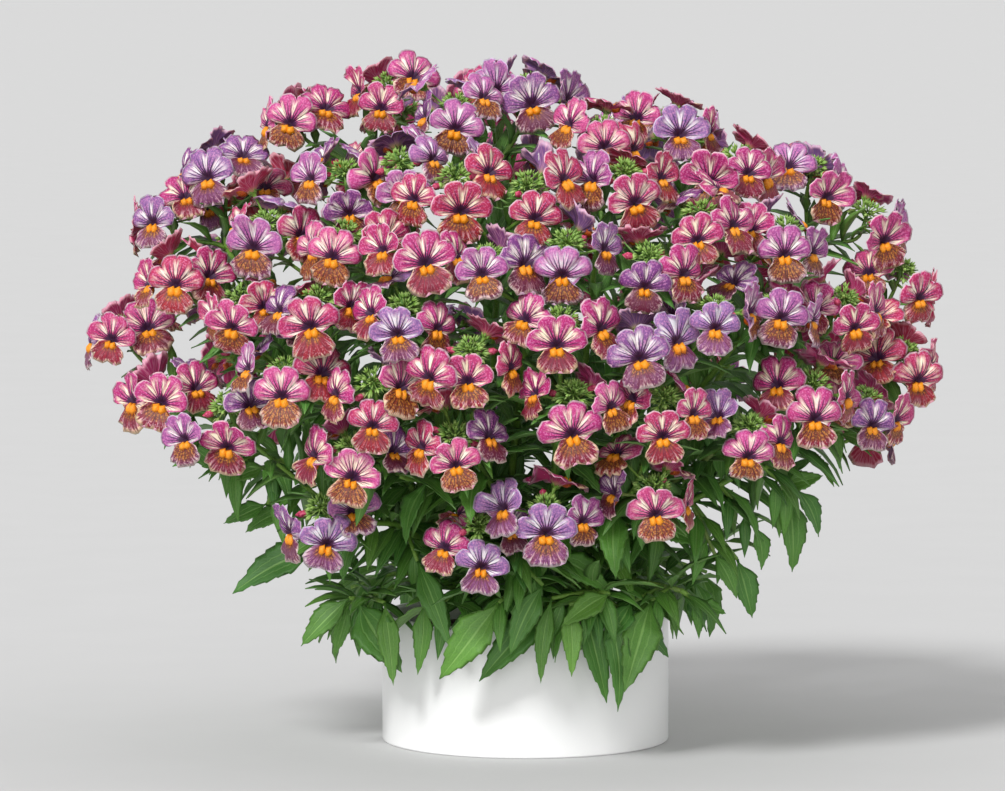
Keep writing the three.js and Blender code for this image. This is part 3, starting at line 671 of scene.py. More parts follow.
# How far each point of the front stands towards the viewer, in bloom radii
THROAT_DIP, THROAT_END = 0.14, 0.3
UPPER_LIFT, UPPER_BULGE, UPPER_RIPPLE, UPPER_WAVES = 0.06, 0.1, 0.04, 2.6
LIP_BULGE, LIP_TURNED_EDGE, LIP_RIPPLE, LIP_WAVES = 0.08, 0.1, 0.08, 5


def corolla_height(t, habit):
    throat = -THROAT_DIP * np.clip(1 - t / THROAT_END, 0, 1) ** 2
    arch = (1 - ACROSS**2) * np.sin(math.pi * t)
    upper = UPPER_LIFT * t - habit.reflex * t**3 + UPPER_BULGE * arch
    upper = upper + habit.tilt[LOBE] * t**2
    upper = upper + UPPER_RIPPLE * np.sin(UPPER_WAVES * math.pi * ACROSS + habit.phase[LOBE]) * t**3
    spread = 0.35 + 0.65 * (1 - ACROSS**4)
    lip = habit.thrust * t**1.2 * spread + LIP_BULGE * arch + habit.cup * ACROSS**2 * t**2
    ripple = LIP_RIPPLE * np.sin(LIP_WAVES * math.pi * ACROSS + habit.phase[LOBE]) * t**4
    lip = lip - LIP_TURNED_EDGE * t**6 + ripple
    return throat + np.where(IS_LIP, lip, upper)


# Points given by their way to the right, up and forward in a bloom's own frame
def points_on(bloom, middle, x, y, z):
    right = cross(bloom.up, bloom.face)
    return middle + np.outer(x, right) + np.outer(y, bloom.up) + np.outer(z, bloom.face)


def add_corolla(piece, bloom, rng, tint):
    at = bloom_frame(bloom)
    size = bloom.size * BLOOM_FULLNESS
    lobes = len(LOBES) + 1
    habit = Group(
        reflex=rng.uniform(*HABIT.reflex), cup=rng.uniform(*HABIT.cup), thrust=rng.uniform(*HABIT.thrust),
        tilt=rng.normal(0, HABIT.tilt, lobes), phase=rng.uniform(0, 2 * math.pi, lobes),
    )
    reach = REACH * (1 + rng.normal(0, HABIT.reach, lobes)[LOBE])
    edge = NOTCH + (reach - NOTCH) * (1 - np.abs(ACROSS) ** SHOULDER) ** 0.5
    depth = IS_LIP * LIP_NOTCH.depth * rng.uniform(*LIP_NOTCH.share)
    edge = edge - depth * np.exp(-((ACROSS / LIP_NOTCH.width) ** 2))
    edge = edge * (1 + RUFFLE * np.sin(ANGLE * 0.3 + habit.phase[LOBE]))
    rows = np.concatenate([FRONT_ROWS, BACK_ROWS])[:, None]
    angle = np.radians(ANGLE)
    x = rows * edge * np.sin(angle)
    y = MOUTH + rows * (edge * np.cos(angle) - MOUTH)
    z = corolla_height(rows, habit)
    z[len(FRONT_ROWS) :] -= PETAL_THICKNESS
    x = np.vstack([x, TUBE_RADIUS * np.sin(angle)])
    y = np.vstack([y, TUBE_RADIUS * np.cos(angle)])
    z = np.vstack([z, np.full(COLUMNS, TUBE_DEPTH)])
    x = np.append(x.ravel(), [0, 0]) * size
    y = np.append(y.ravel(), [MOUTH, 0]) * size
    z = np.append(z.ravel(), [MOUTH_DEPTH, TUBE_END]) * size
    out = np.append(rows[:, 0], 0.2)
    place = np.stack([
        np.append(np.tile(np.abs(ACROSS), len(out)), [0.5, 0.5]),
        np.append(np.repeat(out, COLUMNS), [0, 0]),
        np.append(np.tile(FOLDED_ANGLE, len(out)), [0.3, 0.3]),
    ], axis=1)
    piece.add(points_on(bloom, bloom.centre, x, y, z), COROLLA_FACES, place, tint)
    radii = [radius * size * rng.uniform(0.88, 1.12) for radius in PALATE.radii]
    for side in (-1, 1):
        middle = at(side * PALATE.aside * size, -PALATE.down * size, PALATE.forward * size)
        add_ball(piece, middle, bloom, radii, THROAT, tint)


# A ball squashed along a bloom's three axes
def add_ball(piece, middle, bloom, radii, kind, tint, rows=4, columns=10):
    lean = math.pi * (np.arange(rows) + 0.5) / rows
    turn = angles_round(columns)
    scallop = 1 + PALATE.scallop * np.cos(columns / 2 * turn)
    x = np.outer(np.sin(lean), scallop * np.cos(turn)).ravel()
    y = np.outer(np.sin(lean), scallop * np.sin(turn)).ravel()
    z = np.repeat(np.cos(lean), columns)
    x, y, z = np.append(x, [0, 0]), np.append(y, [0, 0]), np.append(z, [1, -1])
    points = points_on(bloom, middle, x * radii[0], y * radii[1], z * radii[2])
    place = np.stack([np.abs(x), (y + 1) / 2, (z + 1) / 2], axis=1)
    piece.add(points, [(f, kind) for f in closed_faces(rows, columns)], place, tint)


# Kinds of surface in a spray's green piece, and in a piece of leaves alone
GREEN, BUD, LEAF_TOP, LEAF_UNDER = 0, 1, 2, 3
SPRAY_SIDES, LEAFY_SIDES = (LEAF_TOP, LEAF_UNDER), (0, 1)
STALK_RADII, STALK_STRAIGHT = [0.55, 0.5, 0.48, 0.5, 0.8, 1.25], 4.5
CALYX_DEPTH = 0.6
SEPALS, SEPAL_LENGTH, SEPAL_RADII = 5, 3.2, [0.3, 0.7, 0.06]


def add_stalk(piece, bloom, tint):
    at = bloom_frame(bloom)
    depth = TUBE_END * bloom.size
    calyx = at(0, 0, depth + CALYX_DEPTH)
    before = at(0, 0, depth - STALK_STRAIGHT)
    path = [arched(bloom.root, before, calyx, t) for t in np.linspace(0, 1, len(STALK_RADII))]
    add_tube(piece, path, STALK_RADII, GREEN, 6, tint=tint)
    right = cross(bloom.up, bloom.face)
    for k in range(SEPALS):
        a = 2 * math.pi * (k + 0.5) / SEPALS
        out = swing(bloom.up, right, a)
        start = calyx - bloom.face * 1.2 + out * 0.6
        tip = calyx + bloom.face * 1.6 + out * SEPAL_LENGTH * 0.75
        add_tube(piece, [start, mix(start, tip, 0.5), tip], SEPAL_RADII, GREEN, 3, tint=tint)


# The bud tuft: small pointed buds on a dome, the outer ones larger, each with spiky sepals. Below
# them two buds show their petals' colour, at these turns round the tuft.
TUFT_BUDS, TUFT_LEAN, TUFT_REACH, TUFT_CORE = 22, math.radians(115), (7, 9.6), 2
BUD_LENGTHS, BUD_RADII, BUD_VARIES, BUD_STALK = (2.6, 2), (0.6, 0.45), (0.85, 1.15), [0.35, 0.3]
SPIKES, SPIKE_RADII = 3, [0.25, 0.42, 0.05]
COLOURED_BUDS, COLOURED_STALK, CUP_SIZE, COLOURED_RADIUS = (1.1, 3.6), [0.4, 0.45], (2.6, 1.7), 1.75
BUD_PROFILE = [(0, 0.35), (0.3, 0.9), (0.65, 0.9), (1, 0.08)]


def add_bud(piece, start, way, long, radius, kind, tint):
    path = [start + way * (long * share) for share, _ in BUD_PROFILE]
    add_tube(piece, path, [radius * swell for _, swell in BUD_PROFILE], kind, 5, tint=tint)


def add_tuft(piece, raceme, rng):
    tip, axis = raceme.tip, raceme.axis
    e1, e2 = square_to(axis)
    core = tip - axis * TUFT_CORE
    first = rng.uniform(0, 2 * math.pi)
    for n in range(TUFT_BUDS):
        share = (n + 0.5) / TUFT_BUDS
        lean = math.acos(1 - share * (1 - math.cos(TUFT_LEAN)))
        turn = first + n * GOLDEN_TURN
        way = unit(swing(axis, swing(e1, e2, turn), lean) + rng.normal(0, 0.08, 3))
        long = (BUD_LENGTHS[0] + BUD_LENGTHS[1] * share) * rng.uniform(*BUD_VARIES)
        radius = (BUD_RADII[0] + BUD_RADII[1] * share) * rng.uniform(*BUD_VARIES)
        reach = mix(*TUFT_REACH, share) * rng.uniform(0.85, 1.1)
        tint = (rng.uniform(0, 1) * share, rng.uniform(0.3, 1), 0.4 + 0.6 * share)
        start = core + way * (reach - long)
        add_tube(piece, [core + way, start], BUD_STALK, GREEN, 3, tint=tint)
        add_bud(piece, start, way, long, radius, GREEN, tint)
        b1, b2 = square_to(way)
        for k in range(SPIKES):
            out = swing(b1, b2, turn + 2 * math.pi * k / SPIKES)
            end = start + way * (rng.uniform(0.75, 1.1) * long) + out * (radius + rng.uniform(0.5, 1.3))
            bend = mix(start, end, 0.5) + out * 0.3
            add_tube(piece, [start, bend, end], SPIKE_RADII, GREEN, 3, tint=tint)
    for turn in COLOURED_BUDS:
        way = unit(swing(e1, e2, first + turn) + axis * rng.uniform(-0.1, 0.5))
        start = core - axis * rng.uniform(1, 4)
        tint = (rng.uniform(0, 1), rng.uniform(0, 1), 1)
        neck = start + way * rng.uniform(4.5, 6.5)
        add_tube(piece, [start, neck], COLOURED_STALK, GREEN, 6, tint=tint)
        add_bud(piece, neck - way * 0.3, way, *CUP_SIZE, GREEN, tint)
        add_bud(piece, neck + way * 0.7, way, rng.uniform(4.2, 6), COLOURED_RADIUS, BUD, tint)


# A leaf's blade: widening from its stalk, then narrowing in teeth that point to the tip. The
# midrib and two side veins are sunk in its upper face and stand out below.
LEAF_WIDTHS = [
    (0, 0.1), (0.07, 0.12), (0.14, 0.34), (0.22, 0.7), (0.3, 0.94), (0.37, 1), (0.5, 0.93), (0.62, 0.76),
    (0.74, 0.54), (0.86, 0.28), (0.95, 0.1), (1, 0.01),
]
TEETH = [0.26, 0.39, 0.52, 0.65, 0.78]
TOOTH_LENGTH, TOOTH_DEPTH = 0.12, 0.1
SIDE_VEIN = 0.4
BLADE_THICKNESS, VEIN_DEPTH, VEIN_WIDTH, SIDE_VEIN_SHARE, UPPER_VEIN_SHARE = 0.55, 0.35, 0.1, 0.5, 0.6
# How much a blade sways, twists and waves
BLADE_SWAY, BLADE_TWIST, BLADE_WAVE, BLADE_WAVES = 0.05, 0.25, 0.035, 7


# A blade's rows from its base to its tip, its columns from side to side, and the faces of both sides
def blade_plan(rows, across):
    t, tooth = np.array(rows).T
    columns, count = len(across), len(rows) * len(across)
    back = np.arange(count) + count
    left = np.arange(len(rows)) * columns
    right = left + columns - 1
    back[left], back[right] = left, right
    quads = grid(len(rows), columns, False)
    ends = np.arange(columns)
    tips = ends + count - columns
    base_end = np.stack([ends[1:], ends[:-1], back[ends[:-1]], back[ends[1:]]], axis=-1)
    tip_end = np.stack([tips[:-1], tips[1:], back[tips[1:]], back[tips[:-1]]], axis=-1)
    used = np.setdiff1d(np.arange(2 * count), np.concatenate([left, right]) + count)
    order = np.zeros(2 * count, int)
    order[used] = np.arange(len(used))
    top = np.concatenate([order[quads], order[base_end], order[tip_end]])
    shape = np.interp(t, *np.array(LEAF_WIDTHS).T) + TOOTH_DEPTH * tooth
    return Group(
        t=t[:, None], s=np.array(across)[None, :], used=used, top=top,
        under=order[back[quads[:, ::-1]]], shape=shape[:, None],
    )


def toothed_rows():
    rows = [(0, 0), (0.07, 0), (0.14, 0), (0.2, 0)]
    for tooth in TEETH:
        rows += [(tooth, 0), (tooth + TOOTH_LENGTH * 0.6, 0.6), (tooth + TOOTH_LENGTH * 0.93, 1)]
    return rows + [(0.94, 0), (1, 0)]


LEAF_PLAN = blade_plan(toothed_rows(), [-1, -0.7, -SIDE_VEIN, 0, SIDE_VEIN, 0.7, 1])
SMALL_PLAN = blade_plan([(t, 0) for t in (0, 0.1, 0.22, 0.37, 0.58, 0.8, 1)], [-1, -0.5, 0, 0.5, 1])
BRACT_PLAN = blade_plan([(t, 0) for t in (0, 0.2, 0.4, 0.7, 1)], [-1, 0, 1])


def add_blade(piece, leaf, rng, plan=LEAF_PLAN, sides=SPRAY_SIDES):
    long, along, side, normal = leaf_axes(leaf)
    t, s = plan.t, plan.s
    half = s * plan.shape * leaf.width / 2
    sway = rng.uniform(-BLADE_SWAY, BLADE_SWAY) * long * np.sin(math.pi * t)
    twist = rng.uniform(-BLADE_TWIST, BLADE_TWIST) * t
    phase = BLADE_WAVES * math.pi * t + rng.uniform(0, 6) + 1.5 * np.sign(s)
    wave = BLADE_WAVE * leaf.width * np.sin(phase) * s**2
    rise = leaf.arch * long * 4 * t * (1 - t) + LEAF_FOLD * np.abs(half) + twist * half + wave
    inside = np.minimum(1, 5 * t) * np.minimum(1, 4 * (1 - t))
    side_ribs = SIDE_VEIN_SHARE * np.exp(-(((np.abs(s) - SIDE_VEIN) / VEIN_WIDTH) ** 2))
    rib = np.exp(-((s / VEIN_WIDTH) ** 2)) + side_ribs
    body = BLADE_THICKNESS * (1 - s**2) / 2 * np.minimum(1, 0.3 + 3 * t)
    middle = leaf.base + long * t[..., None] * along + (half + sway)[..., None] * side
    upper = rise + body - VEIN_DEPTH * rib * inside * UPPER_VEIN_SHARE
    lower = rise - body - VEIN_DEPTH * rib * inside
    faces = [(middle + lift[..., None] * normal).reshape(-1, 3) for lift in (upper, lower)]
    places = [np.broadcast_arrays(s, t, np.full((1, 1), k)) for k in (1.0, -1.0)]
    place = np.concatenate([np.stack(p, axis=-1).reshape(-1, 3) for p in places])
    parts = zip((plan.top, plan.under), sides)
    piece.add(np.concatenate(faces)[plan.used], parts, place[plan.used], rng.uniform(0, 1, 3))


# Pairs of small leaves along a stem, as shares of its length and lengths in millimetres. They turn
# until they are clear of the blooms.
SPRAY_LEAVES = [(0.06, 28), (0.2, 26), (0.33, 25), (0.46, 22), (0.58, 19), (0.7, 15), (0.82, 11)]
STEM_LEAVES = [(0.1, 28), (0.2, 31), (0.31, 32), (0.43, 30), (0.56, 30), (0.7, 28), (0.83, 28), (0.97, 26)]
INNER_LEAVES = [(0.37, 26), (0.5, 28), (0.64, 28), (0.77, 28), (0.9, 26)]
SHOOT_SMALL_LEAVES = [(0.15, 26), (0.3, 30), (0.45, 30), (0.62, 32), (0.78, 30), (0.92, 26)]
TWIG_LEAVES = [(0.25, 24), (0.7, 22)]
SMALL_SLIMNESS, SMALL_ARCH, SMALL_TRIES, SMALL_SPACE = 0.28, 0.09, 8, 1.6
USUAL_RISE, SHOOT_RISE, TWIG_RISE = (-0.4, 0.2), (-0.9, 0.1), (-1.3, -0.3)


def point_on(path, share):
    spans = [length(b - a) for a, b in zip(path, path[1:])]
    left = share * sum(spans)
    i = 0
    while left > spans[i] and i < len(spans) - 1:
        left -= spans[i]
        i += 1
    return mix(path[i], path[i + 1], left / spans[i]), unit(path[i + 1] - path[i])


def small_leaf(base, way, long, slimness):
    face = UP + vec(0, -0.3, 0) if abs(way[2]) < 0.9 else vec(0, -1, 0)
    return Group(base=base, tip=base + way * long, face=face, width=long * slimness, arch=SMALL_ARCH)


def add_small_leaves(piece, path, pairs, rng, plan, sides=SPRAY_SIDES, rise=USUAL_RISE):
    for number, (share, usual) in enumerate(pairs):
        base, tangent = point_on(path, share)
        e1, e2 = square_to(tangent)
        for half in (0, math.pi):
            for attempt in range(SMALL_TRIES):
                a = half + math.pi / 2 * number + rng.uniform(-1, 1) * (0.4 + 0.15 * attempt)
                ahead = swing(e1, e2, a) + tangent * rng.uniform(0.3, 1)
                way = unit(ahead + UP * rng.uniform(*rise))
                leaf = small_leaf(base, way, usual * rng.uniform(0.8, 1.2), SMALL_SLIMNESS)
                spots = [mix(leaf.base, leaf.tip, t) for t in (0.4, 0.6, 0.8, 1)]
                if not any(in_pot(c, 1) or blocked(c, SMALL_SPACE) for c in spots):
                    add_blade(piece, leaf, rng, plan, sides)
                    break


# The smallest leaves, below a tuft of buds
TOP_BRACTS, BRACT_LENGTH, BRACT_SLIMNESS = 5, (6, 9.5), 0.26


def add_top_bracts(piece, raceme, rng):
    e1, e2 = square_to(raceme.axis)
    for k in range(TOP_BRACTS):
        a = 2 * math.pi * (k + rng.uniform(-0.2, 0.2)) / TOP_BRACTS
        base = raceme.tip - raceme.axis * rng.uniform(3, 8)
        way = unit(swing(e1, e2, a) + raceme.axis * rng.uniform(0.1, 0.9))
        leaf = small_leaf(base, way, rng.uniform(*BRACT_LENGTH), BRACT_SLIMNESS)
        add_blade(piece, leaf, rng, BRACT_PLAN)


# Materials. A value is what comes out of a shader's node, and sums and products of values make nodes.
def screen(red, green, blue):
    channels = [c / 255 for c in (red, green, blue)]
    return [c / 12.92 if c <= 0.04045 else ((c + 0.055) / 1.055) ** 2.4 for c in channels] + [1]


def operation(name, swapped=False):
    def act(*values):
        return values[0].shader.math(name, *(values[::-1] if swapped else values))

    return act


class Value:
    def __init__(self, shader, socket):
        self.shader, self.socket = shader, socket

    __add__ = __radd__ = operation("ADD")
    __mul__ = __rmul__ = operation("MULTIPLY")
    __sub__, __rsub__ = operation("SUBTRACT"), operation("SUBTRACT", True)
    __truediv__, __abs__, sine = operation("DIVIDE"), operation("ABSOLUTE"), operation("SINE")
    at_most, at_least = operation("MINIMUM"), operation("MAXIMUM")

    # Goes smoothly from 0 at low to 1 at high, or the other way where low is above high
    def step(self, low, high):
        ends = (low, high, 0, 1) if low < high else (high, low, 1, 0)
        inputs = dict(zip(("From Min", "From Max", "To Min", "To Max"), ends), Value=self)
        return self.shader.node("ShaderNodeMapRange", inputs, "Result", interpolation_type="SMOOTHSTEP")


# A shader is built from its Principled node outwards. A colour is three screen values, and the shader
# lays each one over the paint that it has so far.
class Shader:
    def __init__(self, name, roughness, **sockets):
        self.material = bpy.data.materials.new(name)
        self.material.use_nodes = True
        self.nodes = self.material.node_tree.nodes
        self.links = self.material.node_tree.links
        self.surface = self.nodes["Principled BSDF"]
        for socket, value in {"Roughness": roughness, **sockets}.items():
            self.surface.inputs[socket.replace("_", " ")].default_value = value

    def put(self, socket, value):
        if isinstance(value, Value):
            self.links.new(value.socket, socket)
        else:
            socket.default_value = screen(*value) if isinstance(value, tuple) else value

    def node(self, kind, inputs, output=0, **settings):
        node = self.nodes.new(kind)
        for name, setting in settings.items():
            setattr(node, name, setting)
        for key, value in inputs.items():
            self.put(node.inputs[key], value)
        return Value(self, node.outputs[output])

    def math(self, operation, *values):
        return self.node("ShaderNodeMath", dict(enumerate(values)), operation=operation)

    def mix(self, factor, first, second):
        return self.node("ShaderNodeMix", {"Factor": factor, 6: first, 7: second}, 2, data_type="RGBA")

    def over(self, factor, colour):
        self.paint = self.mix(factor, self.paint, colour)

    def attribute(self, name):
        vector = self.node("ShaderNodeAttribute", {}, "Vector", attribute_name=name)
        split = self.node("ShaderNodeSeparateXYZ", {0: vector}).socket.node
        return [Value(self, part) for part in split.outputs]

    # Noise over the object's own coordinates in millimetres, where no others are given
    def noise(self, scale, detail=2, where=None):
        if where is None:
            where = self.node("ShaderNodeTexCoord", {}, "Object")
            where = self.node("ShaderNodeVectorMath", {0: where, 1: [1 / MM] * 3}, operation="MULTIPLY")
        return self.node("ShaderNodeTexNoise", {"Vector": where, "Scale": scale, "Detail": detail}, "Fac")

    def finish(self, height=None, depth=0):
        self.put(self.surface.inputs["Base Color"], self.paint)
        if height is not None:
            bump = self.node("ShaderNodeBump", {"Strength": 1, "Distance": depth * MM, "Height": height})
            self.put(self.surface.inputs["Normal"], bump)
        return self.material


# A petal's shader knows where a point lies on its petal, and the bloom's own age, warmth and luck
SOFT = {"Subsurface_Weight": 0.1, "Subsurface_Scale": 1.2 * MM}
LUCK_SHIFT = 40


class Petal(Shader):
    def __init__(self, name, roughness):
        super().__init__(name, roughness, **SOFT)
        self.across, self.out, self.around = self.attribute("place")
        self.age, self.warmth, self.luck = self.attribute("tint")

    # Fine streaks that run out along a petal
    def streaks(self, count, along=2.0):
        parts = {0: self.around * count, 1: self.out * along, 2: self.luck * LUCK_SHIFT}
        return self.noise(1, where=self.node("ShaderNodeCombineXYZ", parts))

    # Its dark veins, which narrow on their way out
    def veins(self, count, width):
        turn = self.around + self.streaks(9, 5) * 0.03
        wave = abs((turn * (math.pi * count)).sine())
        return (1 - wave / ((1.25 - self.out) * width)).at_least(0)

    # Rose, violet and lavender petals: age goes from the first to the last
    def ground(self, rose, red, violet, lavender):
        self.paint = self.mix(self.warmth, rose, red)
        self.over(self.age.step(0.3, 0.6), violet)
        self.over(self.age.step(0.6, 0.95), lavender)


def upper_lip_material():
    petal = Petal("petal_upper_lip", 0.6)
    age, out = petal.age, petal.out
    petal.ground((174, 24, 108), (178, 28, 78), (114, 48, 120), (146, 102, 158))
    petal.over(petal.luck.step(0.5, 1) * 0.45, (214, 92, 160))
    fine, streaks, broad = petal.noise(1.3, 3), petal.streaks(60), petal.streaks(14, 0.8)
    petal.over(fine.step(0.5, 0.62) * 0.42, (226, 150, 196))
    petal.over(fine.step(0.48, 0.34) * 0.45, petal.mix(age, (146, 8, 84), (84, 48, 124)))
    reach = out.step(0.26, 0.44) * out.step(0.92, 0.66)
    flare = reach * (petal.across.step(0.35, 0.9) + broad.step(0.52, 0.66) * 0.6)
    flare = (flare * (0.35 + streaks.step(0.4, 0.56) * 0.8)).at_most(0.97)
    petal.over(flare, petal.mix(age, (250, 236, 206), (232, 224, 230)))
    rays = petal.veins(15, 0.9)
    veins = (rays * out.step(0.9, 0.42) * 1.6).at_most(0.95)
    petal.over(veins, petal.mix(age, (92, 6, 66), (52, 24, 86)))
    throat = out - (streaks * 0.3 + rays * 0.32)
    petal.over(throat.step(0.16, 0.06), (52, 6, 54))
    petal.over(out.step(0.935, 0.985) * 0.85, petal.mix(age, (250, 206, 214), (222, 204, 228)))
    return petal.finish(streaks, 0.14)


def lip_material():
    lip = Petal("petal_lip", 0.55)
    out, luck = lip.out, lip.luck
    lip.ground((132, 12, 50), (154, 22, 38), (94, 18, 54), (128, 66, 116))
    streaks, broad, fine = lip.streaks(48), lip.streaks(14, 1.2), lip.noise(1.2, 3)
    mottle = streaks.step(0.54, 0.64).at_least(fine.step(0.53, 0.63) * 0.7)
    lip.over(mottle * out.step(0.4, 0.85) * (0.4 + luck * 0.55), (236, 188, 198))
    lip.over(broad.step(0.52, 0.4) * 0.5, (104, 8, 42))
    veins = lip.veins(14, 0.8)
    lip.over(veins * 0.7, (84, 6, 34))
    copper = lip.mix(fine.step(0.46, 0.62), (116, 48, 16), (184, 120, 30))
    near = out - (broad * 0.4 + luck * luck * 0.5)
    lip.over(near.step(0.34, 0.12) * 0.85, lip.mix(veins, copper, (36, 10, 10)))
    cream = lip.mix(lip.age, (244, 208, 166), (226, 206, 212))
    lip.over((out + streaks * 0.5).step(1.08, 1.26) * 0.9, cream)
    lip.over(out.step(0.935, 0.985) * 0.85, cream)
    lip.over(out.step(0.22, 0.12), (48, 8, 18))
    return lip.finish(streaks, 0.16)


def petal_back_material():
    back = Petal("petal_back", 0.65)
    back.ground((184, 46, 112), (184, 44, 80), (116, 58, 118), (130, 92, 152))
    streaks = back.streaks(50)
    back.over(streaks.step(0.45, 0.65) * 0.4, (238, 176, 204))
    back.over(back.veins(18, 0.35) * 0.5, (132, 24, 84))
    back.over(back.out.step(0.34, 0.1), (190, 168, 112))
    back.over(back.out.step(0.8, 0.95) * 0.5, (248, 206, 216))
    return back.finish(streaks, 0.12)


def palate_material():
    palate = Shader("palate", 0.5, **SOFT)
    _, up, forward = palate.attribute("place")
    down = palate.noise(1.7, 3)
    # Painted shade: the palate is darker towards its back, where it sits against the throat
    palate.paint = palate.mix(forward.step(0.35, 0.7), (158, 60, 8), (236, 150, 14))
    # Painted shade: its lower part, under the cushion, is darker still
    palate.over(up.step(0.45, 0.1) * 0.8, (176, 78, 10))
    palate.over(down.step(0.48, 0.66) * 0.55, (236, 132, 8))
    return palate.finish(down, 0.3)


def green_material():
    green = Shader("stem_green", 0.55)
    _, along, _ = green.attribute("place")
    purple, light, outer = green.attribute("tint")
    broad, fine = green.noise(0.12), green.noise(1.4, 3)
    green.paint = green.mix(broad.step(0.35, 0.65), (82, 126, 40), (112, 154, 54))
    green.over(light * 0.6, (138, 178, 74))
    green.over(outer * along.step(0.2, 0.9) * 0.8, (172, 202, 118))
    green.over(purple.step(0.66, 0.95) * 0.6, (126, 62, 84))
    green.over(fine.step(0.5, 0.72) * 0.3, (186, 206, 132))
    return green.finish(fine, 0.15)


def bud_material():
    bud = Shader("petal_bud", 0.6, **SOFT)
    _, along, _ = bud.attribute("place")
    streaks = bud.noise(0.9)
    bud.paint = bud.mix(streaks.step(0.4, 0.62), (170, 30, 76), (212, 92, 124))
    bud.over(along.step(0.3, 0.05) * 0.6, (178, 186, 116))
    return bud.finish(streaks, 0.1)


# A blade's veins are its midrib, a pair beside it and fine branches towards the edge
def leaf_material(name, dark, light, vein, depth):
    blade = Shader(name, 0.48)
    across, along, _ = blade.attribute("place")
    tone, yellow, _ = blade.attribute("tint")
    broad, fine, out = blade.noise(0.1), blade.noise(1.5, 3), abs(across)
    blade.paint = blade.mix(tone * 0.6 + broad * 0.4, dark, light)
    blade.over(yellow * yellow * 0.35, (124, 164, 58))
    blade.over(fine.step(0.42, 0.62) * 0.25, dark)
    pair = abs(out - SIDE_VEIN).step(0.06, 0.015) * along.step(0.9, 0.6) * 0.5
    branch = abs(((along * 16 - out * 5) * math.pi).sine())
    branch = branch.step(0.16, 0.04) * out.step(1.0, 0.7) * 0.3
    veins = out.step(0.1, 0.03).at_least(pair).at_least(branch)
    blade.over(veins * 0.55, vein)
    blade.over(out.step(0.93, 0.99) * 0.4, vein)
    return blade.finish(veins * depth + fine * 0.4, 0.2)


def pot_material():
    pot = Shader("pot_white", 0.28, Coat_Weight=0.25, Coat_Roughness=0.2)
    pot.paint = pot.mix(pot.noise(0.03) * 0.5, (244, 244, 243), (238, 239, 240))
    return pot.finish(pot.noise(0.9, 3), 0.015)


def soil_material():
    soil = Shader("potting_soil", 0.92)
    coarse, fine = soil.noise(0.35, 4), soil.noise(1.6, 4)
    soil.paint = soil.mix(coarse.step(0.35, 0.65), (46, 34, 26), (84, 62, 46))
    soil.over(fine.step(0.5, 0.7) * 0.6, (28, 20, 16))
    return soil.finish(fine, 0.8)


PETAL_MATERIALS = [upper_lip_material(), lip_material(), petal_back_material(), palate_material()]
green = green_material()
leaf_top = leaf_material("leaf_top", (50, 102, 38), (98, 156, 58), (140, 184, 98), -1.0)
leaf_under = leaf_material("leaf_under", (80, 124, 62), (116, 160, 84), (152, 188, 118), 1.0)
SPRAY_MATERIALS = [green, bud_material(), leaf_top, leaf_under]
LEAFY_MATERIALS = [leaf_top, leaf_under]


# The sprays. A spray's slot says which colour most of its blooms have.
VIOLET_SHARES = {"petals_rose": 0.14, "petals_mauve": 0.85, "petals_red": 0.14}
WARMTHS = {"petals_rose": 0.1, "petals_mauve": 0.1, "petals_red": 0.8}
VIOLET_AGES, ROSE_AGES = (0.55, 1), (0, 0.35)
# Radii from root to end, how far a stalk reaches into a tuft or a stem, and how deep the ridges are
TRUNK_RADII, BRANCH_RADII = (1.1, 0.75), (1.0, 0.75)
MAIN_RADII, SHOOT_RADII, TWIG_RADII = (1.6, 1.1), (1.3, 0.8), [1.1, 1.0, 0.8]
STALK_OVERLAP, SPRAY_RIDGE, STEM_RIDGE = 2, 0.08, 0.1
slots = {part["node"]: part["material_slot"] for part in frame["record"]["subparts"]}
rng = np.random.default_rng(SEED)

for number, spray in enumerate(sprays, 1):
    node = f"flower_spray_{number:02d}"
    slot = slots[node]
    petals = Piece(node + "_petals", slot, PETAL_MATERIALS, [node])
    stalks = Piece(node + "_stalks", "foliage", SPRAY_MATERIALS)
    first, second = (racemes[i] for i in spray.pair)
    way = unit(unit(spray.fork - spray.end) + unit(foot(first) - spray.fork))
    above = spray.fork + way * FORK_LENGTH
    back = spray.end + unit(spray.end - spray.fork) * STALK_OVERLAP
    first_end, second_end = (raceme.tip - raceme.axis * STALK_OVERLAP for raceme in (first, second))
    trunk = rounded([back, spray.fork, above, foot(first), first_end])
    parting, turn = mix(spray.fork, above, 0.4), mix(above, foot(second), 0.2)
    branch = rounded([parting, turn, foot(second), second_end])
    for path, radii in ((trunk, TRUNK_RADII), (branch, BRANCH_RADII)):
        add_tube(stalks, path, tapered(path, *radii), GREEN, ridge=SPRAY_RIDGE)
    for path, pairs in ((trunk, SPRAY_LEAVES), (branch, SPRAY_LEAVES[1:])):
        add_small_leaves(stalks, path, pairs, rng, BRACT_PLAN)
    for raceme in (first, second):
        add_tuft(stalks, raceme, rng)
        add_top_bracts(stalks, raceme, rng)
        for bloom in raceme.blooms:
            violet = rng.uniform(0, 1) < VIOLET_SHARES[slot]
            age = rng.uniform(*(VIOLET_AGES if violet else ROSE_AGES))
            warmth = float(np.clip(rng.normal(WARMTHS[slot], 0.3), 0, 1))
            add_corolla(petals, bloom, rng, (age, warmth, rng.uniform(0, 1)))
            add_stalk(stalks, bloom, (rng.uniform(0, 0.8), rng.uniform(0, 0.6), 0))
    petals.make()
    stalks.make()

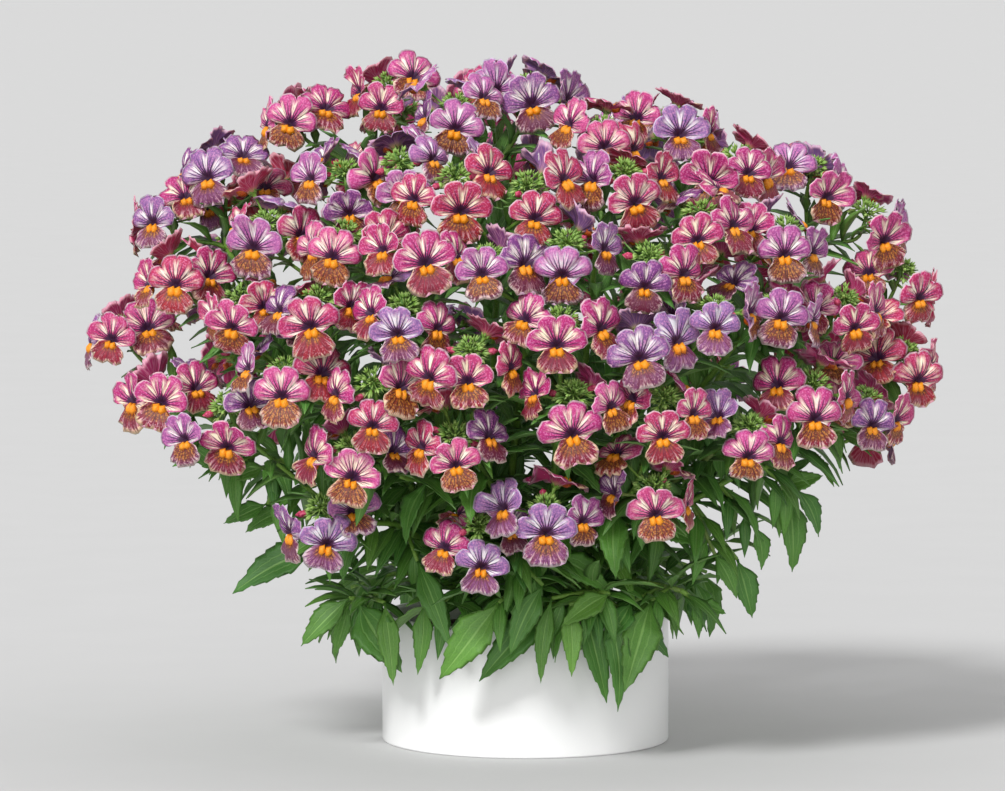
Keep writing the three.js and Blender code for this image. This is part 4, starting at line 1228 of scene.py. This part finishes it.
# The leafy stems, thinner from root to end, the low shoots and the twigs in a lighter green
stems = Piece("leafy_stems_stems", "foliage", [green], ["leafy_stems"])
for paths, radii, light in ((mains, MAIN_RADII, 0.2), (shoots, SHOOT_RADII, 0.3)):
    for path in paths:
        line = rounded(path)
        tint = (rng.uniform(0, 0.8), light, 0)
        add_tube(stems, line, tapered(line, *radii), ridge=STEM_RIDGE, tint=tint)
for twig in twigs:
    line = [mix(*twig, t) for t in (0, 0.5, 1)]
    add_tube(stems, line, TWIG_RADII, ridge=STEM_RIDGE, tint=(rng.uniform(0, 0.8), 0.4, 0))
CROWN_LATHE = [(13.4, 42), (13.4, 49), (12.2, 52.5), (10.5, 54.5), (8, 55.8), (3, 56.4)]
add_tube(stems, [vec(0, 0, z) for _, z in CROWN_LATHE], [r for r, _ in CROWN_LATHE], 0, 24, 0.02)
stems.make()

blades = Piece("leafy_stems_leaves", "foliage", LEAFY_MATERIALS)
for leaf in leaves:
    add_blade(blades, leaf, rng, sides=LEAFY_SIDES)
blades.make()

small = Piece("leafy_stems_small_leaves", "foliage", LEAFY_MATERIALS)
for path in mains:
    for pairs, plan in ((STEM_LEAVES, SMALL_PLAN), (INNER_LEAVES, BRACT_PLAN)):
        add_small_leaves(small, rounded(path), pairs, rng, plan, LEAFY_SIDES)
for path in shoots:
    add_small_leaves(small, rounded(path), SHOOT_SMALL_LEAVES, rng, SMALL_PLAN, LEAFY_SIDES, SHOOT_RISE)
for twig in twigs:
    add_small_leaves(small, twig, TWIG_LEAVES, rng, SMALL_PLAN, LEAFY_SIDES, TWIG_RISE)
small.make()


# The pot, turned from its section, with a rounded lip and foot
POT_SIDES, FLAT_RING, FOOT_RING = 144, 30, 58


def turned(name, slot, material, section, sides, node):
    turn = angles_round(sides)
    points = [np.stack([r * np.cos(turn), r * np.sin(turn), np.full(sides, z)], axis=1) for r, z in section]
    points.append([(0, 0, section[0][1]), (0, 0, section[-1][1])])
    piece = Piece(name, slot, [material], [node])
    piece.add(np.concatenate(points), [(f, 0) for f in closed_faces(len(section), sides)])
    return piece


def arc(r, z, radius, start, end, steps=6):
    angles = np.radians(np.linspace(start, end, steps + 1))
    return [(r + radius * math.cos(a), z + radius * math.sin(a)) for a in angles]


def pot_section():
    inner = POT_RADIUS - POT_WALL
    lip, foot_round = POT_WALL / 2, 1.0
    walls = [(POT_RADIUS, z) for z in np.linspace(foot_round + 2, POT_HEIGHT - lip - 2, 4)]
    inside = [(inner, z) for z in np.linspace(POT_HEIGHT - lip - 2, POT_FLOOR + 3, 3)]
    return [
        (FLAT_RING, 0), (FOOT_RING, 0),
        *arc(POT_RADIUS - foot_round, foot_round, foot_round, -90, 0), *walls,
        *arc(POT_RADIUS - lip, POT_HEIGHT - lip, lip, 0, 180, 12), *inside,
        *arc(inner - 2, POT_FLOOR + 2, 2, 0, -90, 4), (FLAT_RING, POT_FLOOR),
    ]


turned("pot_body", "pot", pot_material(), pot_section(), POT_SIDES, "pot").make()

# The potting soil: a lumpy top with crumbs and bits of bark pressed into it
SOIL_RADIUS, SOIL_EDGE, SOIL_MIDDLE, SOIL_BOTTOM = 61.4, 48, 51, 4.6
SOIL_RINGS, SOIL_SIDES, LUMP_SCALE, LUMP_HEIGHT = 38, 96, 0.09, 1.1
CRUMBS, CRUMB_LENGTHS, CRUMB_RADII = 180, (1, 4.5), (0.5, 1.3)


def soil_top(x, y):
    r = math.hypot(x, y)
    rise = SOIL_MIDDLE + (SOIL_EDGE - SOIL_MIDDLE) * r / SOIL_RADIUS
    lumps = noise.fractal(Vector((x, y, 0)) * LUMP_SCALE, 1.0, 2.0, 4)
    return rise + LUMP_HEIGHT * lumps * min(1, (SOIL_RADIUS - r) / 3 + 0.2)


soil_section = [(r, 0) for r in np.linspace(1, SOIL_RADIUS, SOIL_RINGS)]
soil_section += [(SOIL_RADIUS, z) for z in (40, 20, SOIL_BOTTOM)] + [(FLAT_RING, SOIL_BOTTOM)]
soil = turned("soil_bed", "soil", soil_material(), soil_section, SOIL_SIDES, "soil")
top = soil.points[0]
for i in range(SOIL_RINGS * SOIL_SIDES):
    top[i, 2] = soil_top(top[i, 0], top[i, 1])
top[-2, 2] = soil_top(0, 0)
for _ in range(CRUMBS):
    r, a = SOIL_RADIUS * math.sqrt(rng.uniform(0.05, 0.9)), rng.uniform(0, 2 * math.pi)
    x, y = r * math.cos(a), r * math.sin(a)
    way = unit(vec(*rng.normal(0, 1, 2), rng.normal(0, 0.35)))
    long, thick = rng.uniform(*CRUMB_LENGTHS), rng.uniform(*CRUMB_RADII)
    middle = vec(x, y, soil_top(x, y) + 0.2 * thick)
    path = [middle + way * long * s for s in (-0.5, -0.2, 0.25, 0.5)]
    add_tube(soil, path, [0.3 * thick, thick, 0.85 * thick, 0.3 * thick], 0, 5, tint=rng.uniform(0, 1, 3))
soil.make()

# The floor and the light. The floor is as light as what lies beyond it: it takes the sky's light and
# both suns'. A sun has a turn from the front, to the right, and a height in degrees, then its power
# and how wide it looks.
SKY = 0.7
SUNS = [("key", -30, 42, 2.4, 12), ("fill", -6, 12, 0.6, 30)]
FLOOR_RADIUS, FLOOR_SIDES, FLOOR_GRAIN = 30, 96, (1.02, 0.98)
on_floor = SKY + sum(power * math.sin(math.radians(height)) / math.pi for _, _, height, power, _ in SUNS)
floor_grey = SKY / on_floor
floor_shader = Shader("floor", 0.9, Specular_IOR_Level=0.1)
floor_greys = [[floor_grey * share] * 3 + [1] for share in FLOOR_GRAIN]
floor_shader.paint = floor_shader.mix(floor_shader.noise(0.02), *floor_greys)
bpy.ops.mesh.primitive_circle_add(vertices=FLOOR_SIDES, radius=FLOOR_RADIUS, fill_type="NGON")
floor = bpy.context.object
floor.name = "floor"
floor.data.materials.append(floor_shader.finish())


def aim(thing, way):
    thing.rotation_euler = way.to_track_quat("-Z", "Y").to_euler()


for name, turn, height, power, spread in SUNS:
    light = bpy.data.lights.new(name, "SUN")
    light.energy, light.angle = power, math.radians(spread)
    sun = new_object(name, light)
    a, b = math.radians(turn), math.radians(height)
    sun.location = (math.sin(a) * math.cos(b), -math.cos(a) * math.cos(b), math.sin(b))
    aim(sun, -sun.location)

world = bpy.data.worlds.new("studio")
world.use_nodes = True
sky = world.node_tree.nodes["Background"].inputs
sky["Color"].default_value = (1, 1, 1, 1)
sky["Strength"].default_value = SKY
bpy.context.scene.world = world
bpy.context.scene.view_settings.view_transform = "Standard"

# The photograph's frame: where its middle lies on the plane of the pot's axis, and its width there
FRAME_MIDDLE, FRAME_WIDTH = (-10.4, 156.4), 455
SENSOR_WIDTH = 36
camera = new_object("camera", bpy.data.cameras.new("camera"))
camera.location = Vector((0, -EYE_DISTANCE, EYE_HEIGHT)) * MM
sight = Vector((FRAME_MIDDLE[0], 0, FRAME_MIDDLE[1])) * MM - camera.location
aim(camera, sight)
camera.data.sensor_width = SENSOR_WIDTH
camera.data.lens = SENSOR_WIDTH * sight.length / (FRAME_WIDTH * MM)
camera.data.clip_end = 100
bpy.context.scene.camera = camera
